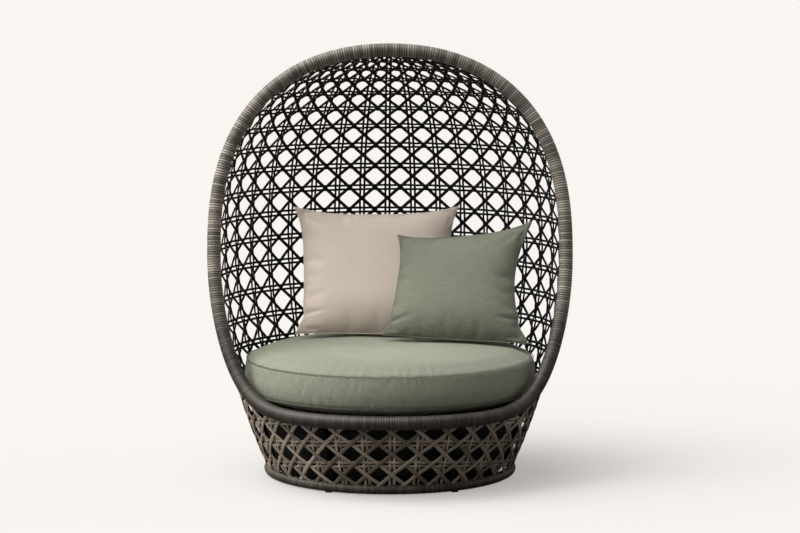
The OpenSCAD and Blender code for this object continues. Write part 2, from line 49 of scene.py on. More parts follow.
def feed(tree, made, values):
    """Gives a node's inputs their values, which are numbers, colours or other nodes' outputs."""
    for key, value in values.items():
        if isinstance(value, bpy.types.NodeSocket):
            tree.links.new(value, made.inputs[key])
        else:
            made.inputs[key].default_value = value


def node(tree, kind, inputs=None, **settings):
    """A node with its settings and the values of its inputs."""
    made = tree.nodes.new(kind)
    for key, value in settings.items():
        setattr(made, key, value)
    feed(tree, made, inputs or {})
    return made


def calc(tree, operation, a, b=0.0):
    return node(tree, "ShaderNodeMath", {0: a, 1: b}, operation=operation).outputs[0]


def times(tree, a, b):
    return calc(tree, "MULTIPLY", a, b)


def plus(tree, a, b):
    return calc(tree, "ADD", a, b)


def swing(tree, value, amount):
    """How far a value lies from a half, times an amount."""
    return times(tree, calc(tree, "SUBTRACT", value, 0.5), amount)


def from_middle(tree, level):
    """0 in the middle of a turn and 1 at its edges, from the share of the turn."""
    return calc(tree, "ABSOLUTE", calc(tree, "SUBTRACT", times(tree, level, 2.0), 1.0))


def vec(tree, operation, a, b=(0.0, 0.0, 0.0)):
    made = node(tree, "ShaderNodeVectorMath", {0: a, 1: b}, operation=operation)
    return made.outputs["Value" if operation == "DOT_PRODUCT" else "Vector"]


def scaled(tree, vector, factor):
    return node(tree, "ShaderNodeVectorMath", {0: vector, "Scale": factor}, operation="SCALE").outputs[0]


def spread(tree, value, low, high, to_low=0.0, to_high=1.0):
    """The value mapped smoothly from one range to another."""
    return node(tree, "ShaderNodeMapRange", {"Value": value, "From Min": low, "From Max": high,
                "To Min": to_low, "To Max": to_high}, interpolation_type="SMOOTHSTEP").outputs[0]


def mixed(tree, share, a, b, blend="MIX"):
    """The colours a and b mixed by a share of b. Inputs 0, 6 and 7 are the factor and the two colours."""
    a, b = [(*c, 1.0) if isinstance(c, tuple) else c for c in (a, b)]
    return node(tree, "ShaderNodeMix", {0: share, 6: a, 7: b}, data_type="RGBA", blend_type=blend).outputs[2]


def noise(tree, vector, scale, detail=2.0, roughness=0.5):
    return node(tree, "ShaderNodeTexNoise", {"Vector": vector, "Scale": scale, "Detail": detail,
                "Roughness": roughness}).outputs[0]


def white(tree, value):
    return node(tree, "ShaderNodeTexWhiteNoise", {"W": value}, noise_dimensions="1D").outputs["Value"]


def make_group(name, kind, inputs, outputs):
    """A node group with named sockets, and its input and output nodes."""
    tree = bpy.data.node_groups.new(name, kind)
    for label, socket, value in inputs:
        made = tree.interface.new_socket(label, in_out="INPUT", socket_type="NodeSocket" + socket)
        if value is not None:
            made.default_value = value
    for label, socket in outputs:
        tree.interface.new_socket(label, in_out="OUTPUT", socket_type="NodeSocket" + socket)
    return tree, tree.nodes.new("NodeGroupInput").outputs, tree.nodes.new("NodeGroupOutput").inputs


# The shell's shape, as in the part's source

SHELL_R, BELLY_Z, CROWN_Z, FOOT_R = 0.560, 0.700, 1.363, 0.386
SIDE_SHARE, CROWN_SHARE, FOOT_SHARE = 2.22, 2.62, 1.85
LOW_STEPS, HIGH_STEPS = 20, 44
RIM_R, RIM_FRONT_Z, RIM_BACK, RIM_OUT, RISE_SHARE = 0.022, 0.242, 0.080, 0.008, 3.9
COLUMNS, PAIR_GAP, PAIR_FULL_R = 36, 0.014, 0.220
MID_ROW, MID_ROW_Z, MID_STEP, END_STEP, LOW_FADE, HIGH_FADE = 8, 0.599, 0.088, 0.070, 6, 4
FRONT_LIFT, LIFT_SHARE, LIFT_FULL, LIFT_END = 0.088, 2.2, 2.5, 5.5
COLUMN_SHARE, LAST_ROW = 0.09, 22
FOOT_TUBE_R, GLIDE_LIFT = 0.0155, 0.002
FRONT_ARC, FRONT_POINTS, SIDE_POINTS = math.radians(66), 40, 90
SETTLING_STEPS, HALVINGS = 5, 24

low_z = np.linspace(0, BELLY_Z, LOW_STEPS + 1)
high_a = np.radians(np.linspace(0, 90, HIGH_STEPS + 1)[1:])
RZ = np.vstack([
    np.c_[SHELL_R - (SHELL_R - FOOT_R) * ((BELLY_Z - low_z) / BELLY_Z) ** FOOT_SHARE, low_z],
    np.c_[SHELL_R * np.abs(np.cos(high_a)) ** (2 / SIDE_SHARE),
          BELLY_Z + (CROWN_Z - BELLY_Z) * np.sin(high_a) ** (2 / CROWN_SHARE)]])
RUN = np.r_[0, np.cumsum(np.linalg.norm(np.diff(RZ, axis=0), axis=1))]
SLOPE_STEP = SHELL_R / 100


def s_at_z(z):
    """The distance along the meridian at a height."""
    return np.interp(z, RZ[:, 1], RUN)


def s_at_r(r):
    """The distance along the meridian at a radius, above the belly."""
    return np.interp(r, RZ[LOW_STEPS:, 0][::-1], RUN[LOW_STEPS:][::-1])


def normal(s):
    """Outward direction (radial, up) at a distance along the meridian."""
    s = np.asarray(s, float)
    t = np.stack([np.interp(s + SLOPE_STEP, RUN, RZ[:, i]) - np.interp(s - SLOPE_STEP, RUN, RZ[:, i])
                  for i in (0, 1)], -1)
    t /= np.linalg.norm(t, axis=-1, keepdims=True)
    return np.stack([t[..., 1], -t[..., 0]], -1)


def section(s, out):
    """Radius and height at a distance along the meridian, moved outwards."""
    out = np.asarray(out)[..., None]
    return np.stack([np.interp(s, RUN, RZ[:, i]) for i in (0, 1)], -1) + out * normal(s)


def turned(rz, a):
    """Places in space from radius and height, turned about the axis from the front."""
    return np.stack([rz[..., 0] * np.sin(a), -rz[..., 0] * np.cos(a), rz[..., 1]], -1)


def row_run(n, fade):
    """How far the nth row from the middle lies from it: the steps shrink to the ends of the shell."""
    return END_STEP * n + (MID_STEP - END_STEP) * fade * (1 - np.exp(-n / fade))


def row_s(v):
    """The distance along the meridian of a row, whole or between two."""
    v = np.asarray(v, float)
    return s_at_z(MID_ROW_Z) + np.where(v < MID_ROW, -row_run(np.maximum(MID_ROW - v, 0), LOW_FADE),
                                        row_run(np.maximum(v - MID_ROW, 0), HIGH_FADE))


def column_angle(u):
    """The angle of a column, closer together at the back than at the front."""
    turn_share = 2 * np.pi / COLUMNS * np.asarray(u, float)
    return turn_share + COLUMN_SHARE * np.sin(turn_share)


def weave_place(u, v, side, up, out):
    """Places on the weave and their outward directions, from columns, rows, shifts and layers."""
    a, v = column_angle(u), np.asarray(v, float)
    lift = FRONT_LIFT * np.clip((LIFT_END - v) / (LIFT_END - LIFT_FULL), 0, 1)
    s = row_s(v) + lift * ((1 + np.cos(a)) / 2) ** LIFT_SHARE + up
    rz, n = section(s, out), normal(s)
    shift = side * np.minimum(1, rz[..., 0] / PAIR_FULL_R)
    aside = np.stack([np.cos(a), np.sin(a), np.zeros_like(a)], -1)
    return turned(rz, a) + shift[..., None] * aside, turned(n, a)


front_s = s_at_z(RIM_FRONT_Z)
rim_front_r = section(front_s, RIM_OUT)[0]
rim_depth = rim_front_r + RIM_BACK
rim_rise = CROWN_Z + RIM_OUT - RIM_FRONT_Z


def rim_height(y):
    """The height of the mouth's surface, which the rim lies in, at a depth."""
    return RIM_FRONT_Z + rim_rise * np.maximum(0, (rim_front_r + y) / rim_depth) ** RISE_SHARE


def rim_slope(y):
    """How steeply the mouth's surface rises at a depth."""
    steep = RISE_SHARE * rim_rise / rim_depth
    return steep * np.maximum(0, (rim_front_r + y) / rim_depth) ** (RISE_SHARE - 1)


def rim_y(z):
    """The depth at which the mouth's surface has a height."""
    return rim_depth * np.maximum(0, (z - RIM_FRONT_Z) / rim_rise) ** (1 / RISE_SHARE) - rim_front_r


foot_z = GLIDE_LIFT + FOOT_TUBE_R
foot_r = float(np.interp(s_at_z(foot_z), RUN, RZ[:, 0]))


def inside_by(p, out, rim_end, foot_end):
    """How far a place on the weave lies inside the rim and above the foot ring."""
    d = (rim_height(p[..., 1]) - p[..., 2]) / np.sqrt(1 + rim_slope(p[..., 1]) ** 2)
    rim_gap = np.where(d < 0, d, np.hypot(d, RIM_OUT - out) - RIM_R)
    foot_gap = np.where(p[..., 2] < foot_z, -1,
                        np.hypot(np.hypot(p[..., 0], p[..., 1]) - foot_r, p[..., 2] - foot_z) - FOOT_TUBE_R)
    return np.minimum(rim_gap - rim_end, foot_gap - foot_end)


def rim_run(a):
    """Where the rim's front crosses the meridian at an angle from the front, found by settling steps."""
    s = front_s
    for _ in range(SETTLING_STEPS):
        s = s_at_z(rim_height(-section(s, RIM_OUT)[0] * math.cos(a)) - RIM_OUT * normal(s)[1])
    return s


def rim_half():
    """The rim's centreline at the front, from its middle to the corner, and up the side to the top."""
    front = [turned(section(rim_run(a), RIM_OUT), a) for a in np.linspace(0, FRONT_ARC, FRONT_POINTS)[:-1]]
    corner = rim_run(FRONT_ARC)
    low, high = s_at_r(2 * RIM_BACK), s_at_r(RIM_BACK / 2)
    for _ in range(HALVINGS):
        mid = (low + high) / 2
        rz = section(mid, RIM_OUT)
        low, high = (mid, high) if rz[0] > rim_y(rz[1]) else (low, mid)
    reach = math.sqrt((high - corner + RIM_BACK) ** 2 - RIM_BACK ** 2)
    s = high + RIM_BACK - np.hypot(reach * (1 - np.linspace(0, 1, SIDE_POINTS)), RIM_BACK)
    rz = section(s, RIM_OUT)
    y = rim_y(rz[:, 1])
    side = np.stack([np.sqrt(np.maximum(0, rz[:, 0] ** 2 - y ** 2)), y, rz[:, 1]], -1)
    side[-1, 0] = 0
    return np.array(front), side


# Geometry node trees

RING_R = 0.001


def stored(tree, geometry, name, value, kind="FLOAT_VECTOR"):
    """The geometry with a value kept on its points."""
    return node(tree, "GeometryNodeStoreNamedAttribute", {"Geometry": geometry, "Name": name, "Value": value},
                data_type=kind, domain="POINT").outputs[0]


def sweep_ring(tree, curve, sides):
    """Sweeps a ring of points along the curves and keeps each point's place on the ring."""
    ring = node(tree, "GeometryNodeCurvePrimitiveCircle", {"Resolution": sides, "Radius": RING_R}).outputs[0]
    place = node(tree, "GeometryNodeInputPosition").outputs[0]
    ring = stored(tree, ring, "ring", scaled(tree, place, calc(tree, "DIVIDE", 1.0, RING_R)))
    return node(tree, "GeometryNodeCurveToMesh", {"Curve": stored(tree, curve, "centre", place),
                "Profile Curve": ring, "Fill Caps": True}).outputs[0]


def named(tree, name, kind="FLOAT_VECTOR"):
    return node(tree, "GeometryNodeInputNamedAttribute", {"Name": name}, data_type=kind).outputs[0]


def parts_of(tree, vector):
    return node(tree, "ShaderNodeSeparateXYZ", {0: vector}).outputs


def finish_tree(tree, geometry, material, output):
    """Smooth shading, real geometry and the material, at the end of a tree."""
    smooth = node(tree, "GeometryNodeSetShadeSmooth", {"Geometry": geometry})
    real = node(tree, "GeometryNodeRealizeInstances", {"Geometry": smooth.outputs[0]})
    done = node(tree, "GeometryNodeSetMaterial", {"Geometry": real.outputs[0], "Material": material})
    tree.links.new(done.outputs[0], output)


WIDE_BELOW, PLAIN_ABOVE = 0.34, 0.46


def strand_tree():
    """Flat strands along paths: a ring set out across each path and outwards, wider near the floor."""
    tree, given, out = make_group("flat strands", "GeometryNodeTree", (
        ("Paths", "Geometry", None), ("Width", "Float", 0.005), ("Thickness", "Float", 0.003),
        ("Low Width", "Float", 1.0), ("Sides", "Int", 6), ("Finish", "Material", None)),
        (("Strands", "Geometry"),))
    curve = node(tree, "GeometryNodeMeshToCurve", {"Mesh": given["Paths"]})
    swept = sweep_ring(tree, curve.outputs[0], given["Sides"])
    ring = parts_of(tree, named(tree, "ring"))
    flat = times(tree, calc(tree, "SIGN", ring[0]), calc(tree, "POWER", calc(tree, "ABSOLUTE", ring[0]), 0.5))
    low = node(tree, "ShaderNodeMapRange", {
        "Value": parts_of(tree, named(tree, "centre"))[2], "From Min": WIDE_BELOW, "From Max": PLAIN_ABOVE,
        "To Min": given["Low Width"], "To Max": 1.0}).outputs[0]
    wide = times(tree, low, times(tree, given["Width"], 0.5))
    aside = scaled(tree, named(tree, "across"), times(tree, flat, wide))
    up = scaled(tree, named(tree, "out"), times(tree, ring[1], times(tree, given["Thickness"], 0.5)))
    place = vec(tree, "ADD", vec(tree, "ADD", named(tree, "centre"), aside), up)
    moved = node(tree, "GeometryNodeSetPosition", {"Geometry": swept, "Position": place})
    finish_tree(tree, moved.outputs[0], given["Finish"], out[0])
    return tree


def wrap_tree():
    """Turns of a flat strand round a tube: rings square to the path, which dip where two turns meet."""
    tree, given, out = make_group("wound tube", "GeometryNodeTree", (
        ("Path", "Geometry", None), ("Radius", "Float", 0.022), ("Turns", "Int", 300), ("Rings", "Int", 6),
        ("Sides", "Int", 24), ("Groove", "Float", 0.0013), ("Finish", "Material", None)),
        (("Wrap", "Geometry"),))
    curve = node(tree, "GeometryNodeMeshToCurve", {"Mesh": given["Path"]})
    count = times(tree, given["Turns"], given["Rings"])
    even = node(tree, "GeometryNodeResampleCurve", {"Curve": curve.outputs[0], "Count": count})
    along = node(tree, "GeometryNodeSplineParameter")
    length = node(tree, "GeometryNodeSplineLength")
    pitch = calc(tree, "DIVIDE", length.outputs["Length"], given["Turns"])
    turn = calc(tree, "DIVIDE", along.outputs["Length"], pitch)
    counted = stored(tree, even.outputs[0], "turn", turn, "FLOAT")
    counted = stored(tree, counted, "along", node(tree, "GeometryNodeInputTangent").outputs[0])
    swept = sweep_ring(tree, counted, given["Sides"])
    ring = parts_of(tree, named(tree, "ring"))
    aside = vec(tree, "NORMALIZE", vec(tree, "CROSS_PRODUCT", named(tree, "out"), named(tree, "along")))
    outward = vec(tree, "CROSS_PRODUCT", named(tree, "along"), aside)
    level = calc(tree, "FRACT", plus(tree, named(tree, "turn", "FLOAT"), 0.001))
    dip = times(tree, calc(tree, "POWER", from_middle(tree, level), 4.0), given["Groove"])
    radius = times(tree, calc(tree, "SUBTRACT", given["Radius"], dip), -1.0)
    place = named(tree, "centre")
    for direction, share in ((aside, ring[0]), (outward, ring[1])):
        place = vec(tree, "ADD", place, scaled(tree, direction, times(tree, share, radius)))
    moved = node(tree, "GeometryNodeSetPosition", {"Geometry": swept, "Position": place})
    finish_tree(tree, moved.outputs[0], given["Finish"], out[0])
    return tree


def add_object(name, mesh):
    made = bpy.data.objects.new(name, mesh)
    scene.collection.objects.link(made)
    return made


def store(mesh, label, values, kind="FLOAT", field="value"):
    """Keeps one value for each of the mesh's points."""
    data = mesh.attributes.new(label, kind, "POINT").data
    data.foreach_set(field, np.asarray(values, np.float32).ravel())


def path_object(name, paths, closed=False):
    """Polylines as one mesh. Each path is (points, outward directions, tone)."""
    points, edges, outs, asides, runs, tones = [], [], [], [], [], []
    for p, n, tone in paths:
        first, count = len(points), len(p)
        points.extend(p)
        edges.extend((first + i, first + i + 1) for i in range(count - 1))
        if closed:
            edges.append((first + count - 1, first))
        t = (np.roll(p, -1, 0) - np.roll(p, 1, 0)) if closed else np.gradient(p, axis=0)
        t /= np.linalg.norm(t, axis=1, keepdims=True)
        aside = np.cross(n, t)
        aside /= np.linalg.norm(aside, axis=1, keepdims=True)
        outs.extend(np.cross(t, aside))
        asides.extend(aside)
        runs.extend(np.r_[0, np.cumsum(np.linalg.norm(np.diff(p, axis=0), axis=1))])
        tones.extend([tone] * count)
    mesh = bpy.data.meshes.new(name)
    mesh.from_pydata([tuple(p) for p in points], edges, [])
    for label, values in (("out", outs), ("across", asides)):
        store(mesh, label, values, "FLOAT_VECTOR", "vector")
    for label, values in (("run", runs), ("tone", tones)):
        store(mesh, label, values)
    return add_object(name, mesh)


def grow(source, tree, values, name):
    """The tree's result on the source object, as a plain mesh object."""
    modifier = source.modifiers.new("make", "NODES")
    modifier.node_group = tree
    for item in tree.interface.items_tree:
        if item.in_out == "INPUT" and item.name in values:
            modifier[item.identifier] = values[item.name]
    graph = bpy.context.evaluated_depsgraph_get()
    mesh = bpy.data.meshes.new_from_object(source.evaluated_get(graph), preserve_all_data_layers=True,
                                           depsgraph=graph)
    source.modifiers.remove(modifier)
    bpy.data.objects.remove(source)
    mesh.name = name
    return add_object(name, mesh)


# Materials


def new_material(name):
    material = bpy.data.materials.new(name)
    material.use_nodes = True
    tree = material.node_tree
    tree.nodes.clear()
    shader = tree.nodes.new("ShaderNodeBsdfPrincipled")
    output = tree.nodes.new("ShaderNodeOutputMaterial")
    tree.links.new(shader.outputs[0], output.inputs[0])
    return material, tree, shader


def use_group(tree, group, values):
    made = tree.nodes.new("ShaderNodeGroup")
    made.node_tree = group
    feed(tree, made, values)
    return made.outputs


def place_of(tree):
    return tree.nodes.new("ShaderNodeTexCoord").outputs["Object"]


def bumped(tree, shader, height, strength, distance):
    bump = node(tree, "ShaderNodeBump", {"Height": height, "Strength": strength, "Distance": distance})
    tree.links.new(bump.outputs[0], shader.inputs["Normal"])


def attribute(tree, name):
    return node(tree, "ShaderNodeAttribute", attribute_name=name).outputs


def by_height(tree, low, high, to_low=0.0, to_high=1.0):
    """A mask that changes smoothly between two heights above the floor."""
    return spread(tree, parts_of(tree, place_of(tree))[2], low, high, to_low, to_high)


def joined(tree, x, y, z):
    return node(tree, "ShaderNodeCombineXYZ", {0: x, 1: y, 2: z}).outputs[0]


def dress(mesh, material):
    """Gives a mesh this material alone."""
    mesh.materials.clear()
    mesh.materials.append(material)


def grain_group():
    """Weathered synthetic wicker: a mottled tone, long fibres and warmer patches."""
    tree, given, out = make_group("wicker grain", "ShaderNodeTree", (
        ("Place", "Vector", None), ("Strand", "Vector", None), ("Tone", "Float", 0.5),
        ("Fibre", "Float", 0.6), ("Mottle", "Float", 0.3), ("Pale", "Color", (0.4, 0.35, 0.29, 1)),
        ("Deep", "Color", (0.14, 0.12, 0.1, 1))),
        (("Color", "Color"), ("Roughness", "Float"), ("Height", "Float")))
    mottle = noise(tree, given["Place"], 70.0, 3.0, 0.6)
    broad = noise(tree, given["Place"], 9.0, 2.0)
    fibre = noise(tree, given["Strand"], 1.0, 3.0, 0.65)
    tone = plus(tree, times(tree, given["Tone"], 0.5), 0.15)
    for value, amount in ((mottle, given["Mottle"]), (fibre, given["Fibre"]), (broad, 0.5)):
        tone = plus(tree, tone, swing(tree, value, amount))
    colour = mixed(tree, spread(tree, tone, 0.1, 0.8), given["Deep"], given["Pale"])
    warm = spread(tree, noise(tree, given["Place"], 24.0, 2.0), 0.42, 0.66)
    colour = mixed(tree, times(tree, warm, 0.3), colour, mixed(tree, 0.5, colour, (0.17, 0.115, 0.075)))
    tree.links.new(colour, out["Color"])
    tree.links.new(spread(tree, fibre, 0.2, 0.8, 0.62, 0.42), out["Roughness"])
    tree.links.new(times(tree, fibre, given["Fibre"]), out["Height"])
    return tree


# How closely the thicker threads lie along X, Y and Z, for those one way and the other
SLUB_STRETCHES = (130.0, 200.0, 420.0), (420.0, 330.0, 130.0)


def cloth_group():
    """Plain-woven cloth: fine threads both ways, thicker threads here and there, and a soft mottle."""
    tree, given, out = make_group("woven cloth", "ShaderNodeTree", (
        ("Place", "Vector", None), ("Facing", "Vector", None), ("Threads", "Float", 4200.0),
        ("Slub", "Float", 0.5), ("Pale", "Color", (0.4, 0.4, 0.3, 1)),
        ("Deep", "Color", (0.2, 0.2, 0.15, 1))),
        (("Color", "Color"), ("Height", "Float")))
    height = 0.0
    for axis, facing in zip(parts_of(tree, given["Place"]), parts_of(tree, given["Facing"])):
        thread = calc(tree, "ABSOLUTE", calc(tree, "SINE", times(tree, axis, given["Threads"])))
        share = calc(tree, "SUBTRACT", 0.5, times(tree, times(tree, facing, facing), 0.5))
        height = plus(tree, height, times(tree, thread, share))
    flecks = [noise(tree, vec(tree, "MULTIPLY", given["Place"], stretch), 1.0, 2.0, 0.7)
              for stretch in SLUB_STRETCHES]
    slub = times(tree, 0.5, plus(tree, *flecks))
    mottle = noise(tree, given["Place"], 9.0, 2.0, 0.5)
    tone = plus(tree, times(tree, height, 0.2), times(tree, slub, given["Slub"]))
    tone = plus(tree, tone, swing(tree, mottle, 0.12))
    tree.links.new(mixed(tree, spread(tree, tone, 0.25, 0.85), given["Deep"], given["Pale"]), out["Color"])
    tree.links.new(plus(tree, height, times(tree, slub, 0.6)), out["Height"])
    return tree


grain, cloth = grain_group(), cloth_group()
# The painted shade on the hood's strands, and the heights between which it sets in
HOOD_SHADE, HOOD_FADE = (0.48, 0.48, 0.48), (0.34, 0.75)


def strand_material(name, pale, deep, inner_shade):
    """Wicker strands: weathered outside, with a painted shade: darker on the hood than on the skirt and at
    the edges, and near black on the side that faces the seat. These tones are fitted to the photo."""
    material, tree, shader = new_material(name)
    ring = parts_of(tree, attribute(tree, "ring")["Vector"])
    run = attribute(tree, "run")["Fac"]
    tone = attribute(tree, "tone")["Fac"]
    strand = joined(tree, times(tree, ring[0], 3.2), times(tree, run, 14.0), times(tree, tone, 60.0))
    grained = use_group(tree, grain, {"Place": place_of(tree), "Strand": strand, "Tone": tone,
                                      "Pale": (*pale, 1), "Deep": (*deep, 1)})
    # Painted shade: the side of each strand that faces the seat goes near black
    facing = spread(tree, ring[1], -0.35, 0.45)
    # Painted shade: the hood's strands are darker than the skirt's
    hood_shaded = mixed(tree, by_height(tree, *HOOD_FADE), grained["Color"], HOOD_SHADE, "MULTIPLY")
    colour = mixed(tree, facing, inner_shade, hood_shaded)
    # Painted shade: each strand's edges are darker, mixed towards the near black tone
    edge = spread(tree, calc(tree, "ABSOLUTE", ring[0]), 0.72, 1.0)
    colour = mixed(tree, times(tree, edge, 0.55), colour, inner_shade)
    feed(tree, shader, {"Base Color": colour, "Roughness": grained["Roughness"], "Specular IOR Level": 0.25})
    bumped(tree, shader, grained["Height"], 0.35, 0.0006)
    return material


# Painted shades on the wound wicker by its height, fitted to the photo, and the heights where they set in or
# end
LOW_SHADE, FRONT_SHADE, TOP_SHADE = (0.25, 0.225, 0.195), (0.60, 0.60, 0.585), (0.68, 0.68, 0.68)
LOW_END, TOP_START = (0.36, 0.70, 1.0, 0.0), (1.05, 1.36)
FRONT_START, FRONT_END = (0.12, 0.24), (0.42, 0.60, 1.0, 0.0)
GROOVE_DIRT = (0.012, 0.010, 0.009)


def wrap_material(name, pale, deep):
    """Wicker wound round a tube: each turn has its own tone, the grooves are dark, and so are a few
    turns. A painted shade by height lies over that."""
    material, tree, shader = new_material(name)
    turn = attribute(tree, "turn")["Fac"]
    level = calc(tree, "FRACT", turn)
    index = calc(tree, "FLOOR", turn)
    tone = white(tree, index)
    across = parts_of(tree, attribute(tree, "ring")["Vector"])[0]
    strand = joined(tree, times(tree, level, 7.0), times(tree, across, 0.9), times(tree, tone, 90.0))
    steady = plus(tree, 0.08, times(tree, tone, 0.84))
    grained = use_group(tree, grain, {"Place": place_of(tree), "Strand": strand, "Tone": steady,
                                      "Fibre": 0.15, "Mottle": 0.05, "Pale": (*pale, 1), "Deep": (*deep, 1)})
    off = from_middle(tree, level)
    dark_turn = spread(tree, white(tree, plus(tree, index, 0.37)), 0.88, 0.97)
    groove = times(tree, dark_turn, spread(tree, off, 0.0, 0.8))
    groove = calc(tree, "MAXIMUM", spread(tree, off, 0.25, 1.0), groove)
    front = times(tree, by_height(tree, *FRONT_START), by_height(tree, *FRONT_END))
    colour = grained["Color"]
    # Painted shade: darker near the floor, at the height of the front rim and along the top of the hood's rim
    for share, shade in ((by_height(tree, *LOW_END), LOW_SHADE), (front, FRONT_SHADE),
                         (by_height(tree, *TOP_START), TOP_SHADE)):
        colour = mixed(tree, share, colour, shade, "MULTIPLY")
    colour = mixed(tree, times(tree, groove, 0.9), colour, GROOVE_DIRT)
    feed(tree, shader, {"Base Color": colour, "Roughness": grained["Roughness"]})
    bumped(tree, shader, grained["Height"], 0.4, 0.0006)
    return material


# The tone that the painted shade darkens the cloth towards
PAINTED_SHADE_TONE = (0.1, 0.1, 0.1)


def cloth_material(name, pale, deep, threads=4200.0, sheen=0.1):
    """Woven cloth, with the painted shade where its mesh carries one."""
    material, tree, shader = new_material(name)
    facing = node(tree, "ShaderNodeTexCoord").outputs["Normal"]
    woven = use_group(tree, cloth, {"Place": place_of(tree), "Facing": facing, "Threads": threads,
                                    "Slub": 0.8, "Pale": (*pale, 1), "Deep": (*deep, 1)})
    # Painted shade, as strong as the mesh's attribute says
    shade_share = times(tree, attribute(tree, "painted_shade")["Fac"], 0.6)
    feed(tree, shader, {"Base Color": mixed(tree, shade_share, woven["Color"], PAINTED_SHADE_TONE, "MULTIPLY"),
                        "Roughness": 0.92, "Sheen Weight": sheen, "Sheen Roughness": 0.5})
    bumped(tree, shader, woven["Height"], 0.5, 0.0005)
    return material


def hard_material(name, colour, worn, roughness, metallic):
    """Paint, bare steel, rubber or dark sheet, with faint scuffs."""
    material, tree, shader = new_material(name)
    place = place_of(tree)
    scuff = spread(tree, noise(tree, place, 38.0, 5.0, 0.7), 0.55, 0.75)
    fine = noise(tree, place, 260.0, 3.0)
    feed(tree, shader, {"Base Color": mixed(tree, times(tree, scuff, 0.6), colour, worn),
                        "Roughness": spread(tree, fine, 0.2, 0.8, roughness - 0.08, roughness + 0.12),
                        "Metallic": metallic})
    bumped(tree, shader, fine, 0.15, 0.0003)
    return material


def webbing_material():
    """Elastic webbing: a close chevron of ribs."""
    material, tree, shader = new_material("webbing")
    x, y = parts_of(tree, place_of(tree))[:2]
    slant = plus(tree, times(tree, x, 1900.0), times(tree, calc(tree, "PINGPONG", y, 0.006), 2600.0))
    rib = calc(tree, "ABSOLUTE", calc(tree, "SINE", slant))
    speck = noise(tree, place_of(tree), 300.0, 2.0)
    tone = plus(tree, times(tree, rib, 0.7), times(tree, speck, 0.3))
    colour = mixed(tree, tone, (0.03, 0.028, 0.026), (0.13, 0.12, 0.105))
    feed(tree, shader, {"Base Color": colour, "Roughness": 0.85})
    bumped(tree, shader, rib, 0.5, 0.0006)
    return material


# Painted light: weave_wicker is paler than lattice_wicker to offset the shade on the stakes and hoops, which
# lie below the diagonals
weave_wicker = strand_material("weave_wicker", (0.74, 0.61, 0.48), (0.27, 0.215, 0.165),
                               (0.010, 0.009, 0.008))
lattice_wicker = strand_material("lattice_wicker", (0.56, 0.465, 0.37), (0.19, 0.153, 0.118),
                                 (0.011, 0.0095, 0.0085))
wound_wicker = wrap_material("wound_wicker", (0.64, 0.56, 0.48), (0.19, 0.163, 0.137))
seat_cloth = cloth_material("seat_cloth", (0.51, 0.535, 0.405), (0.28, 0.295, 0.218))
green_cloth = cloth_material("green_cloth", (0.345, 0.362, 0.27), (0.165, 0.176, 0.129))
taupe_cloth = cloth_material("taupe_cloth", (0.97, 0.835, 0.72), (0.80, 0.68, 0.58))
seam_thread = cloth_material("seam_thread", (0.17, 0.18, 0.13), (0.10, 0.105, 0.08), 2600.0, 0.25)
painted_tube = hard_material("painted_tube", (0.10, 0.09, 0.08), (0.2, 0.18, 0.16), 0.45, 0.0)
bright_steel = hard_material("bright_steel", (0.6, 0.6, 0.61), (0.4, 0.4, 0.41), 0.33, 1.0)
black_rubber = hard_material("black_rubber", (0.02, 0.02, 0.02), (0.06, 0.06, 0.058), 0.75, 0.0)
black_sheet = hard_material("black_sheet", (0.012, 0.0115, 0.011), (0.03, 0.028, 0.026), 0.62, 0.0)
webbing = webbing_material()

# Painted shade: the posts and the base liner are near black, standing in for the shade inside the base
CAD_FINISH = {
    "rim_hood_tube": painted_tube, "rim_front_tube": painted_tube, "foot_ring_tube": painted_tube,
    "posts": black_sheet, "seat_ring": painted_tube, "seat_rails": painted_tube, "rim_brackets": painted_tube,
    "strap_rivets": bright_steel, "glides": black_rubber, "seat_straps": webbing, "base_liner": black_sheet}
for name, material in CAD_FINISH.items():
    dress(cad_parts[name].data, material)


# Strands of the weave

WEAVE_MID, WEAVE_AMP = -0.0040, 0.0020
LATTICE_MID, LATTICE_AMP = 0.0002, 0.0016
PAIR_W, PAIR_T, LATTICE_W, LATTICE_T, LOW_WIDTH = 0.0076, 0.0042, 0.0112, 0.0036, 1.18
RIM_BITE, FOOT_BITE = -0.007, -0.004
STATIONS = 8
# A stretch shorter than this is a crumb beside the rim or the foot ring
SHORTEST = 0.07
# Rows where the stakes begin and end, and those of the diagonals and the hoops
STAKE_ROWS, DIAGONAL_ROWS = (-1.5, LAST_ROW - 0.5), np.arange(-1.5, LAST_ROW + 0.51, 1 / STATIONS)
HOOD_ROWS, BACK_ROWS, LOW_ROWS = np.arange(12.5, 20.6), np.arange(5.5, 11.6), np.arange(-0.5, 4.6)
KNOT_STEP, BETWEEN = np.pi / 4, 6


def knots(first, last, half):
    """Places where a strand passes the two strands of each crossing pair, and a few between them."""
    marks, phases = [], []
    for n in np.arange(first, last + 1e-6, 1.0):
        d = half(n)
        marks += [n - d, n + d]
        phases += [2 * np.pi * round(n - first), 2 * np.pi * round(n - first) + np.pi]
    fine = np.interp(np.arange(0, phases[-1] + 1e-6, KNOT_STEP), phases, marks)
    between = [np.linspace(marks[i], marks[i + 1], BETWEEN)[1:-1] for i in range(1, len(marks) - 1, 2)]
    places = np.unique(np.round(np.concatenate([fine, *between]), 5))
    return places, np.interp(places, marks, phases)


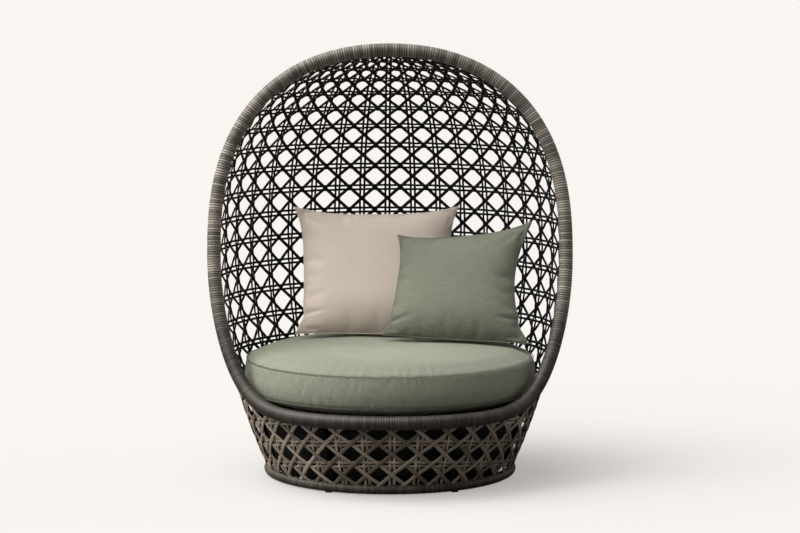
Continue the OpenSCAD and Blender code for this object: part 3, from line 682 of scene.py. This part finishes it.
def cut(points, outs, layer, tone):
    """The stretches of a strand that lie on the weave, run a little into the rim and the foot ring."""
    depth = inside_by(points, layer, RIM_BITE, FOOT_BITE)
    inside, paths, i = depth > 0, [], 0
    while i < len(points):
        if not inside[i]:
            i += 1
            continue
        j = i
        while j + 1 < len(points) and inside[j + 1]:
            j += 1
        p, n = list(points[i:j + 1]), list(outs[i:j + 1])
        for end, outer in ((0, i - 1), (-1, j + 1)):
            if 0 <= outer < len(points):
                at = i if end == 0 else j
                share = depth[at] / (depth[at] - depth[outer])
                q, m = points[at] + share * (points[outer] - points[at]), outs[at]
                p.insert(0, q) if end == 0 else p.append(q)
                n.insert(0, m) if end == 0 else n.append(m)
        if len(p) > 3 and np.linalg.norm(np.diff(p, axis=0), axis=1).sum() > SHORTEST:
            paths.append((np.array(p), np.array(n), tone))
        i = j + 1
    return paths


def stake_paths():
    """Pairs of stakes from the foot to the crown, one pair for each column."""
    paths = []
    for u in range(COLUMNS):
        v, phase = knots(*STAKE_ROWS, lambda n: PAIR_GAP / 2 / float(row_s(n + 0.5) - row_s(n - 0.5)))
        for side in (-1, 1):
            out = WEAVE_MID - side * WEAVE_AMP * np.cos(phase)
            p, n = weave_place(np.full_like(v, u), v, side * PAIR_GAP / 2, 0.0, out)
            paths += cut(p, n, WEAVE_MID, rng.random())
    return paths


def hoop_paths(rows):
    """Pairs of hoops, each once round the weave from a place where the rim or the foot cuts it."""
    paths = []
    for v in rows:
        for up in (-1, 1):
            r = section(row_s(v), 0.0)[0]
            half = PAIR_GAP / 2 * min(1, r / PAIR_FULL_R) / (r * 2 * np.pi / COLUMNS)
            u, phase = knots(-COLUMNS / 2, COLUMNS / 2, lambda n: half)
            # A row past the foot is all NaN. It stays here, and cut drops it
            once = ~(u >= u[0] + COLUMNS - 1e-4)
            u, phase = u[once] + COLUMNS, phase[once]
            out = WEAVE_MID - up * WEAVE_AMP * np.cos(phase)
            p, n = weave_place(u, np.full_like(u, v), 0.0, up * PAIR_GAP / 2, out)
            tone = rng.random()
            start = int(np.argmax(inside_by(p, WEAVE_MID, RIM_BITE, FOOT_BITE) <= 0))
            order = np.r_[start:len(p), 0:start + 1]
            paths += cut(p[order], n[order], WEAVE_MID, tone)
    return paths


def diagonal_paths(lean):
    """Diagonals that gain a column with each row, to the right or to the left."""
    v = DIAGONAL_ROWS
    out = LATTICE_MID - lean * LATTICE_AMP * np.cos(2 * np.pi * v)
    paths = []
    for m in range(COLUMNS):
        p, n = weave_place(m + lean * v, v, 0.0, 0.0, out)
        paths += cut(p, n, LATTICE_MID, rng.random())
    return paths


def is_skirt(path):
    """Skirt stakes end at the front of the rim, below the belly."""
    return path[0][-1][2] < MID_ROW_Z


flat_strands, wound_tube = strand_tree(), wrap_tree()
stakes = stake_paths()
PAIRS, LATTICE = (PAIR_W, PAIR_T, weave_wicker), (LATTICE_W, LATTICE_T, lattice_wicker)
STRANDS = (
    ("hood_stake_strands", [p for p in stakes if not is_skirt(p)], PAIRS, "hood_stakes"),
    ("skirt_stake_strands", [p for p in stakes if is_skirt(p)], PAIRS, "skirt_stakes"),
    ("hood_hoop_strands", hoop_paths(HOOD_ROWS), PAIRS, "hood_hoops"),
    ("back_hoop_strands", hoop_paths(BACK_ROWS), PAIRS, "back_hoops"),
    ("low_hoop_strands", hoop_paths(LOW_ROWS), PAIRS, "low_hoops"),
    ("left_diagonal_strands", diagonal_paths(-1), LATTICE, "left_diagonals"),
    ("right_diagonal_strands", diagonal_paths(1), LATTICE, "right_diagonals"))
for name, paths, (width, thickness, finish), stands_for in STRANDS:
    sizes = {"Width": width, "Thickness": thickness, "Low Width": LOW_WIDTH, "Sides": 6, "Finish": finish}
    piece = grow(path_object(name + "_paths", paths), flat_strands, sizes, name)
    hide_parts(stands_for)
    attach(piece, "frame")

# Wrapped rim and foot ring

TURN_PITCH, FOOT_POINTS = 0.0080, 160
rim_front, rim_side = rim_half()
left = np.array([-1, 1, 1])
hood_path = np.vstack([rim_side, (rim_side * left)[::-1][1:]])
front_path = np.vstack([(rim_side[:1] * left), (rim_front * left)[::-1], rim_front[1:], rim_side[:1]])
ring_angle = np.linspace(0, 2 * np.pi, FOOT_POINTS + 1)[:-1]
foot_path = turned(np.array([[foot_r, foot_z]] * FOOT_POINTS), ring_angle)
WRAPS = (("hood_wrap_turns", hood_path, np.array([0, 0, BELLY_Z]), RIM_R, "rim_hood_wrap", 24, False),
         ("front_wrap_turns", front_path, np.array([0, 0, BELLY_Z]), RIM_R, "rim_front_wrap", 24, False),
         ("foot_wrap_turns", foot_path, np.array([0, 0, foot_z]), FOOT_TUBE_R, "foot_ring_wrap", 20, True))
for name, path, middle, radius, stands_for, sides, closed in WRAPS:
    turns = round(np.linalg.norm(np.diff(path, axis=0), axis=1).sum() / TURN_PITCH)
    sizes = {"Radius": radius, "Turns": turns, "Sides": sides, "Finish": wound_wicker}
    piece = grow(path_object(name + "_path", [(path, path - middle, 0.5)], closed), wound_tube, sizes, name)
    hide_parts(stands_for)
    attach(piece, "frame")

# Stuffed pieces


def hump(off, width):
    """1 in the middle, fading to nothing past the width."""
    return np.exp(-(off / width) ** 2)


def mesh_from(name, verts, faces):
    mesh = bpy.data.meshes.new(name)
    mesh.from_pydata([tuple(v) for v in verts], [], faces)
    mesh.validate()
    mesh.shade_smooth()
    return mesh


def coords(mesh):
    co = np.empty(len(mesh.vertices) * 3)
    mesh.vertices.foreach_get("co", co)
    return co.reshape(-1, 3)


def bake(obj):
    """Gives the object the mesh that its modifiers make, and takes them off."""
    graph = bpy.context.evaluated_depsgraph_get()
    mesh = bpy.data.meshes.new_from_object(obj.evaluated_get(graph), depsgraph=graph)
    obj.modifiers.clear()
    obj.data = mesh


SWELL_FRAMES, HELD_FROM = 20, 0.01


def stuffed(name, mesh, voxel, hold, cap, slack):
    """The closed cover swollen by its filling: held along its seams, with slack cloth that folds.
    No point moves further than the cap."""
    obj = add_object(name, mesh)
    if voxel:
        remesh = obj.modifiers.new("even", "REMESH")
        remesh.mode, remesh.voxel_size, remesh.use_smooth_shade = "VOXEL", voxel, True
        bake(obj)
    start = coords(obj.data)
    weights = hold(start)
    held = obj.vertex_groups.new(name="seams")
    for i in np.nonzero(weights > HELD_FROM)[0]:
        held.add([int(i)], float(weights[i]), "REPLACE")
    swell = obj.modifiers.new("swell", "CLOTH")
    settings = swell.settings
    settings.quality, settings.mass = 6, 0.3
    settings.tension_stiffness = settings.compression_stiffness = 20
    settings.shear_stiffness, settings.bending_stiffness = 6, 0.8
    settings.use_pressure, settings.uniform_pressure_force = True, 4.0
    settings.effector_weights.gravity = 0
    settings.shrink_min = -slack
    settings.vertex_group_mass = "seams"
    swell.collision_settings.use_collision = False
    for number in range(1, SWELL_FRAMES + 1):
        scene.frame_set(number)
    graph = bpy.context.evaluated_depsgraph_get()
    moved = coords(obj.evaluated_get(graph).to_mesh())
    obj.evaluated_get(graph).to_mesh_clear()
    obj.modifiers.clear()
    obj.vertex_groups.clear()
    scene.frame_set(1)
    step = moved - start
    size = np.linalg.norm(step, axis=1, keepdims=True)
    step *= np.minimum(1, cap / np.maximum(size, 1e-9))
    obj.data.vertices.foreach_set("co", (start + step).ravel())
    smooth = obj.modifiers.new("smooth", "SUBSURF")
    smooth.levels = smooth.render_levels = 1
    bake(obj)
    obj.data.shade_smooth()
    return obj


def store_painted_shade(obj, painted_shade):
    """A painted shade for the cloth's material, from 0 to 1, fitted to the tones of the photo."""
    store(obj.data, "painted_shade", np.clip(painted_shade, 0, 1))


CUSHION_Z, CUSHION_R, DRAW = 0.2513, 0.474, 0.007
BAND_H, CROWN, UNDER, BASE_FLAT = 0.102, 0.036, 0.027, 0.84
low_seam, high_seam, seam_r = CUSHION_Z + UNDER, CUSHION_Z + UNDER + BAND_H, CUSHION_R - DRAW
cushion_mid_z = (low_seam + high_seam) / 2
FILL_INSET, COVER_VOXEL, COVER_CAP, COVER_SLACK, DRAW_IN = 0.003, 0.009, 0.006, 0.004, 0.02
SEAM_HOLD_H, SEAM_HOLD_W, SEAM_W, CORD_T, FOLD_T = 0.006, 0.02, 0.0026, 0.0030, 0.0024
GROOVE_H, GROOVE_W, GROOVE_DEPTH = 0.0055, 0.012, 0.0030
PUCKER_H, PUCKER_W, PUCKER_DEPTH, PUCKER_WAVES = 0.02, 0.045, 0.0008, (60, 150)
DIMPLE_R, DIMPLE_DEPTH, DIMPLE_WAVES = 0.2, 0.0015, (2, 6)
CORD_IN, CORD_WANDER, CORD_POINTS = 0.0024, 0.0006, 360


def cushion_line(inset):
    """Radius and height of the cushion's outline: domed top, bulging band and rounded base."""
    t = np.sin(np.radians(np.linspace(0, 90, 22)))
    top = np.c_[(seam_r - inset) * t, high_seam + (CROWN - inset) * np.sqrt(np.maximum(0, 1 - t ** 4))]
    b = np.linspace(1, -1, 14)[1:-1]
    band = np.c_[seam_r - inset + DRAW * (1 - b * b), cushion_mid_z + b * BAND_H / 2]
    a = np.radians(np.linspace(90, 0, 12))
    base = np.c_[seam_r * BASE_FLAT + (seam_r * (1 - BASE_FLAT) - inset) * np.sin(a),
                 low_seam - (UNDER - inset) * np.cos(a)]
    return np.vstack([top, band, base, [[0, CUSHION_Z + inset]]])


def lathe(name, line, count):
    """The outline turned about the axis, closed by a point at the top and one at the bottom."""
    verts, faces = [(0, 0, line[0][1])], []
    ring = np.linspace(0, 2 * np.pi, count + 1)[:-1]
    for r, z in line[1:-1]:
        verts += [(r * math.cos(a), r * math.sin(a), z) for a in ring]
    verts.append((0, 0, line[-1][1]))
    rows = len(line) - 2
    for k in range(count):
        n = (k + 1) % count
        faces.append((0, 1 + k, 1 + n))
        for i in range(rows - 1):
            a, b = 1 + i * count, 1 + (i + 1) * count
            faces.append((a + k, b + k, b + n, a + n))
        last = 1 + (rows - 1) * count
        faces.append((len(verts) - 1, last + n, last + k))
    return mesh_from(name, verts, faces)


RIPPLES = 7


def ripple(angle, seed, low, high):
    """Uneven waves round the cushion, from a few fixed sine terms."""
    draw = np.random.default_rng(seed)
    total = np.zeros_like(angle)
    for k in draw.integers(low, high, RIPPLES):
        total += np.sin(k * angle + draw.random() * 6.283) / RIPPLES ** 0.5
    return total


def along_seams(p):
    """How firmly the cushion's cover is held at each place: fully at its two seams."""
    off = np.minimum(abs(p[:, 2] - low_seam), abs(p[:, 2] - high_seam))
    return hump(off, SEAM_HOLD_H) * (np.hypot(p[:, 0], p[:, 1]) > seam_r - SEAM_HOLD_W)


def seat_cushion():
    """The round cover, with grooves and puckers at its seams, shallow dimples and a painted shade."""
    obj = stuffed("seat_cushion_cover", lathe("seat_cushion", cushion_line(FILL_INSET), 128), COVER_VOXEL,
                  along_seams, COVER_CAP, COVER_SLACK)
    p = coords(obj.data)
    r, a = np.hypot(p[:, 0], p[:, 1]), np.arctan2(p[:, 1], p[:, 0])
    for z, seed in ((low_seam, 3), (high_seam, 4)):
        groove = hump(p[:, 2] - z, GROOVE_H) * (r > seam_r - GROOVE_W)
        pucker = np.exp(-(abs(p[:, 2] - z) / PUCKER_H)) * (r > seam_r - PUCKER_W)
        step = -GROOVE_DEPTH * groove + PUCKER_DEPTH * pucker * ripple(a, seed, *PUCKER_WAVES)
        p[:, 0] += step * np.cos(a)
        p[:, 1] += step * np.sin(a)
    dimple = hump(r - DIMPLE_R, DIMPLE_R) * ripple(a, 9, *DIMPLE_WAVES)
    p[:, 2] -= np.where(p[:, 2] > high_seam, DIMPLE_DEPTH * dimple, 0)
    below = np.clip((cushion_mid_z - p[:, 2]) / (cushion_mid_z - CUSHION_Z), 0, 1)
    p[:, :2] *= (1 - DRAW_IN * below ** 2)[:, None]
    p[:, 2] = np.maximum(p[:, 2], CUSHION_Z)
    # The painted shade: darker towards the front right of the top, and towards the upper seam of the band
    toward_front = np.clip(0.1 + 0.35 * p[:, 0] / seam_r - 0.75 * p[:, 1] / seam_r, 0, 1)
    top = 0.36 + 0.5 * np.clip((r / seam_r - 0.3) / 0.6, 0, 1) * (0.4 + 0.6 * toward_front)
    band = 0.65 * np.clip((p[:, 2] - low_seam) / BAND_H, 0, 1)
    store_painted_shade(obj, np.where(p[:, 2] > high_seam, top, band))
    obj.data.vertices.foreach_set("co", p.ravel())
    dress(obj.data, seat_cloth)
    return obj


def round_seam(z, name):
    """The sewn edge between two panels: a thin puckered cord that lies in the groove."""
    a = np.linspace(0, 2 * np.pi, CORD_POINTS + 1)[:-1]
    drawn = DRAW_IN * max(0, (cushion_mid_z - z) / (cushion_mid_z - CUSHION_Z)) ** 2
    r = (seam_r - CORD_IN + CORD_WANDER * ripple(a, 11, 80, 170)) * (1 - drawn)
    path = np.stack([r * np.cos(a), r * np.sin(a), z + CORD_WANDER * ripple(a, 12, 60, 140)], -1)
    out = np.stack([np.cos(a), np.sin(a), np.zeros_like(a)], -1)
    return grow(path_object(name + "_path", [(path, out, 0.5)], True), flat_strands,
                {"Width": SEAM_W, "Thickness": CORD_T, "Sides": 6, "Finish": seam_thread}, name)


cover = seat_cushion()
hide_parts("seat_cover_top", "seat_cover_band", "seat_cover_base", "seat_foam")
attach(cover, "seat_cushion")
for z, name in ((low_seam, "seat_cushion_low_seam"), (high_seam, "seat_cushion_high_seam")):
    seam = round_seam(z, name)
    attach(seam, "seat_cushion")


FOOT_DRAW, HEAD_DRAW, SIDE_DRAW, NOTCH_DRAW, NOTCH_AT, NOTCH_SPAN = 0.03, 0.13, 0.112, 0.03, -0.72, 0.11
PILLOW_EDGE, PILLOW_ROUND, PILLOW_STEPS = 0.0016, 0.58, 46
PILLOW_SIZE, PILLOW_PLUMP, PILLOW_HOLD, PILLOW_CAP, PILLOW_SLACK = 0.998, 0.84, 0.0042, 0.022, 0.018
THINNEST, PILLOW_ROOM, THINNEST_DENT, LIMIT_POWER, SHARE_STEPS = 0.0012, 0.001, 0.0005, 6, 8
CLOSER, EVEN, SIDE_SEAM_POINTS = 0.55, 0.45, 60
# A fold has a low ridge beside it: its share of the fold's depth, and how many widths away it lies
RIDGE, RIDGE_OFF = 0.45, 1.7


class Pillow:
    """A stuffed square cover in its own plane: x across, z up, y through it. The shares a and b run
    across and up, from -1 to 1. Its corners are pulled by the lengths given for their shares."""

    def __init__(self, width, left_h, right_h, thick, at, turn, lean, roll, corners):
        self.corners = corners
        self.width, self.left_h, self.right_h, self.thick = width, left_h, right_h, thick
        self.place = Matrix.Translation(at)
        for angle, axis in ((turn, "Z"), (-lean, "X"), (-roll, "Y")):
            self.place = self.place @ Matrix.Rotation(math.radians(angle), 4, axis)

    def edge(self, a, b):
        """Places in the plane, whose edges are drawn in between the corners."""
        h = self.left_h + (self.right_h - self.left_h) * (a + 1) / 2
        ends = np.where(b < 0, FOOT_DRAW, HEAD_DRAW)
        sides = SIDE_DRAW * (1 - abs(b) ** 3.4) + NOTCH_DRAW * hump(b - NOTCH_AT, NOTCH_SPAN)
        return a * self.width / 2 * (1 - sides), b * h / 2 * (1 - ends * (1 - abs(a) ** 3))

    def shares(self, p):
        """Shares across and up of places in the pillow's plane."""
        a, b = p[:, 0] / (self.width / 2), p[:, 2] / ((self.left_h + self.right_h) / 4)
        for _ in range(SHARE_STEPS):
            x, z = self.edge(a, b)
            a = np.clip(a + (p[:, 0] - x) / (self.width / 2), -1, 1)
            b = np.clip(b + (p[:, 2] - z) / ((self.left_h + self.right_h) / 4), -1, 1)
        return a, b

    def pulled(self, p, a, b):
        """The corners pulled sideways and up to where they lie."""
        p = p.copy()
        for (sa, sb), (dx, dz) in self.corners.items():
            up = 1 - b * b if sb == 0 else (1 + sb * b) / 2
            w = np.clip((1 + sa * a) / 2 * up, 0, 1) ** 2
            p[:, 0] += w * dx
            p[:, 2] += w * dz
        return p

    def placed(self, p):
        """Places in the pillow's plane, taken to where it leans."""
        return (np.c_[p, np.ones(len(p))] @ np.array(self.place).T)[:, :3]

    def half(self, a, b):
        """Half the thickness of the full pillow."""
        full = np.maximum(0, (1 - a * a) * (1 - b * b)) ** PILLOW_ROUND
        return PILLOW_EDGE + (self.thick / 2 - PILLOW_EDGE) * full

    def mesh(self, name):
        """The cover before it swells: two sheets, joined all round, with closer points near the edges."""
        n = PILLOW_STEPS
        even = np.linspace(-1, 1, n + 1)
        line = CLOSER * np.sin(np.pi / 2 * even) + EVEN * even
        a, b = np.meshgrid(line, line)
        x, z = self.edge(a, b)
        y = np.maximum(THINNEST, PILLOW_PLUMP * self.half(a, b))
        verts = []
        for side in (-1, 1):
            verts += list(np.stack([PILLOW_SIZE * x, side * y, PILLOW_SIZE * z], -1).reshape(-1, 3))
        faces, m = [], (n + 1) ** 2
        for j in range(n):
            for i in range(n):
                k = j * (n + 1) + i
                faces += [(k, k + 1, k + n + 2, k + n + 1), (m + k, m + k + n + 1, m + k + n + 2, m + k + 1)]
        loop = ([*range(n)] + [j * (n + 1) + n for j in range(n)]
                + [n * (n + 1) + i for i in range(n, 0, -1)] + [j * (n + 1) for j in range(n, 0, -1)])
        faces += [(p, m + p, m + q, q) for p, q in zip(loop, loop[1:] + loop[:1])]
        return mesh_from(name, verts, faces)


def crease(p, start, end, width, depth):
    """How far a fold between two places in the pillow's plane dents its cover."""
    (x0, z0), (x1, z1) = start, end
    d = np.array([x1 - x0, z1 - z0])
    length = np.linalg.norm(d)
    d /= length
    t = np.clip((p[:, 0] - x0) * d[0] + (p[:, 2] - z0) * d[1], 0, length)
    off = np.hypot(p[:, 0] - x0 - t * d[0], p[:, 2] - z0 - t * d[1])
    fade = np.sin(np.pi * np.clip(t / length, 0.02, 0.98))
    return depth * fade * (hump(off, width) - RIDGE * hump(off - RIDGE_OFF * width, width))


def make_pillow(name, pillow, finish, creases):
    """The cover with folds on its front, the corners pulled to where they lie, and a painted shade."""
    obj = stuffed(name, pillow.mesh(name), None,
                  lambda p: np.where(abs(p[:, 1]) < PILLOW_HOLD, 1.0, 0.0), PILLOW_CAP, PILLOW_SLACK)
    p = coords(obj.data)
    a, b = pillow.shares(p)
    side = np.sign(p[:, 1])
    dent = sum(crease(p, *c) for c in creases) * (side < 0)
    # The fullness stays under the limit, which it nears smoothly
    limit, full = pillow.half(a, b) + PILLOW_ROOM, np.maximum(abs(p[:, 1]) - dent, THINNEST_DENT)
    p[:, 1] = side * full * limit / (full ** LIMIT_POWER + limit ** LIMIT_POWER) ** (1 / LIMIT_POWER)
    obj.data.vertices.foreach_set("co", pillow.placed(pillow.pulled(p, a, b)).ravel())
    # Painted shade: darker near the edges, towards the bottom and towards the lower right
    edges = np.exp(-(1 - np.maximum(abs(a), abs(b))) / 0.06)
    low = np.clip((-0.45 - b) / 0.55, 0, 1) ** 1.5
    low_right = np.clip((a - b) / 2 - 0.05, 0, 1) ** 1.5
    store_painted_shade(obj, 0.45 * edges + 0.6 * low + 0.8 * low_right)
    dress(obj.data, finish)
    return obj


def pillow_seam(name, pillow, finish):
    """The sewn edge all round a pillow."""
    line = np.linspace(-1, 1, SIDE_SEAM_POINTS + 1)[:-1]
    ones = np.ones_like(line)
    a = np.r_[line, ones, -line, -ones]
    b = np.r_[-ones, line, ones, -line]
    x, z = pillow.edge(a, b)
    out = np.stack([a, np.zeros_like(a), b], -1) + 1e-4
    path = pillow.placed(pillow.pulled(np.stack([x, np.zeros_like(x), z], -1), a, b))
    turn = np.array(pillow.place)[:3, :3]
    return grow(path_object(name + "_path", [(path, out @ turn.T, 0.5)], True), flat_strands,
                {"Width": SEAM_W, "Thickness": FOLD_T, "Sides": 6, "Finish": finish}, name)


# Widths, heights at the left and right, thicknesses, places, turns, leans and rolls, and pulls at the corners
taupe = Pillow(0.545, 0.500, 0.500, 0.150, (-0.041, 0.2974, 0.6250), 1.5, 36, 0,
               {(1, 1): (0.014, 0.0), (-1, -1): (0.0, 0.012)})
green = Pillow(0.464, 0.376, 0.450, 0.135, (0.227, 0.1106, 0.5940), -12, 33, 3,
               {(-1, 1): (0.018, 0.009), (1, 1): (0.004, 0.009), (-1, -1): (-0.016, 0.018),
                (1, -1): (0.003, 0.012), (1, 0): (-0.024, 0.0)})
# Folds on the fronts of the pillows: from, to, width and depth
TAUPE_CREASES = (((-0.262, -0.175), (-0.16, -0.172), 0.009, 0.007),
                 ((-0.24, 0.21), (-0.17, 0.15), 0.011, 0.004),
                 ((0.01, 0.225), (0.0, 0.16), 0.012, 0.004))
GREEN_CREASES = (((-0.222, -0.142), (-0.13, -0.122), 0.009, 0.008),
                 ((0.212, -0.140), (0.13, -0.135), 0.009, 0.008),
                 ((0.19, -0.06), (0.11, -0.02), 0.012, 0.004),
                 ((0.2, 0.19), (0.13, 0.12), 0.011, 0.004))
for name, pillow, finish, creases, slot, nodes in (
        ("taupe_pillow_cover", taupe, taupe_cloth, TAUPE_CREASES, "taupe_cloth",
         ("taupe_front", "taupe_back", "taupe_fill")),
        ("green_pillow_cover", green, green_cloth, GREEN_CREASES, "green_cloth",
         ("green_front", "green_back", "green_fill"))):
    body = name.replace("_cover", "")
    piece = make_pillow(name, pillow, finish, creases)
    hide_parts(*nodes)
    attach(piece, body)
    seam = pillow_seam(body + "_seam", pillow, finish)
    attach(seam, body)

# Floor, light and camera

FLOOR_HALF = 200
floor_material, tree, shader = new_material("studio_floor")
# The floor shows the camera a paler tone than the one that lights the chair
seen = node(tree, "ShaderNodeLightPath").outputs["Is Camera Ray"]
feed(tree, shader, {"Base Color": mixed(tree, seen, (0.12, 0.118, 0.115), (0.33, 0.325, 0.32)),
                    "Emission Color": mixed(tree, seen, (0.0, 0.0, 0.0), (0.385, 0.367, 0.353)),
                    "Emission Strength": 1.0, "Roughness": 0.9, "Specular IOR Level": 0.0})
floor_corners = [(x * FLOOR_HALF, y * FLOOR_HALF, 0) for x, y in ((-1, -1), (1, -1), (1, 1), (-1, 1))]
floor_mesh = mesh_from("studio_floor", floor_corners, [(0, 1, 2, 3)])
dress(floor_mesh, floor_material)
add_object("studio_floor", floor_mesh)

KEY = Vector((-0.62, -0.02, 1.0)).normalized()
world = bpy.data.worlds.new("studio")
world.use_nodes = True
scene.world = world
sky = world.node_tree
# The sky is nearly dark away from the key light and brightens towards it
toward_key = vec(sky, "DOT_PRODUCT", sky.nodes.new("ShaderNodeTexCoord").outputs["Generated"], tuple(KEY))
sky.links.new(spread(sky, toward_key, 0.45, 1.0, 0.03, 3.0), sky.nodes["Background"].inputs["Strength"])
sky.nodes["Background"].inputs["Color"].default_value = (1.0, 0.99, 0.975, 1)

SIDE = Vector((0.9, 0.3, 0.5))
for name, direction, energy, angle in (("key_light", KEY, 1.7, 40), ("side_light", SIDE, 0.45, 60)):
    light = bpy.data.lights.new(name, "SUN")
    light.energy, light.angle, light.color = energy, math.radians(angle), (1.0, 0.985, 0.965)
    light_object = add_object(name, light)
    light_object.rotation_mode = "QUATERNION"
    light_object.rotation_quaternion = direction.to_track_quat("Z", "Y")

FOCAL_PX, AXIS_X, WIDTH_PX = 2645.0, 390.0, 800.0
DISTANCE, HEIGHT, AZIMUTH, PITCH = 8.5, 1.63, math.radians(0.9), math.radians(6.43)
lens = bpy.data.cameras.new("camera")
lens.sensor_width = 36.0
lens.lens = FOCAL_PX / WIDTH_PX * lens.sensor_width
lens.shift_x = 0.5 - AXIS_X / WIDTH_PX
lens.clip_end = 500
camera = add_object("camera", lens)
camera.location = (-DISTANCE * math.sin(AZIMUTH), -DISTANCE * math.cos(AZIMUTH), HEIGHT)
camera.rotation_euler = (math.pi / 2 - PITCH, 0, -AZIMUTH)
scene.camera = camera
scene.view_settings.view_transform = "Standard"
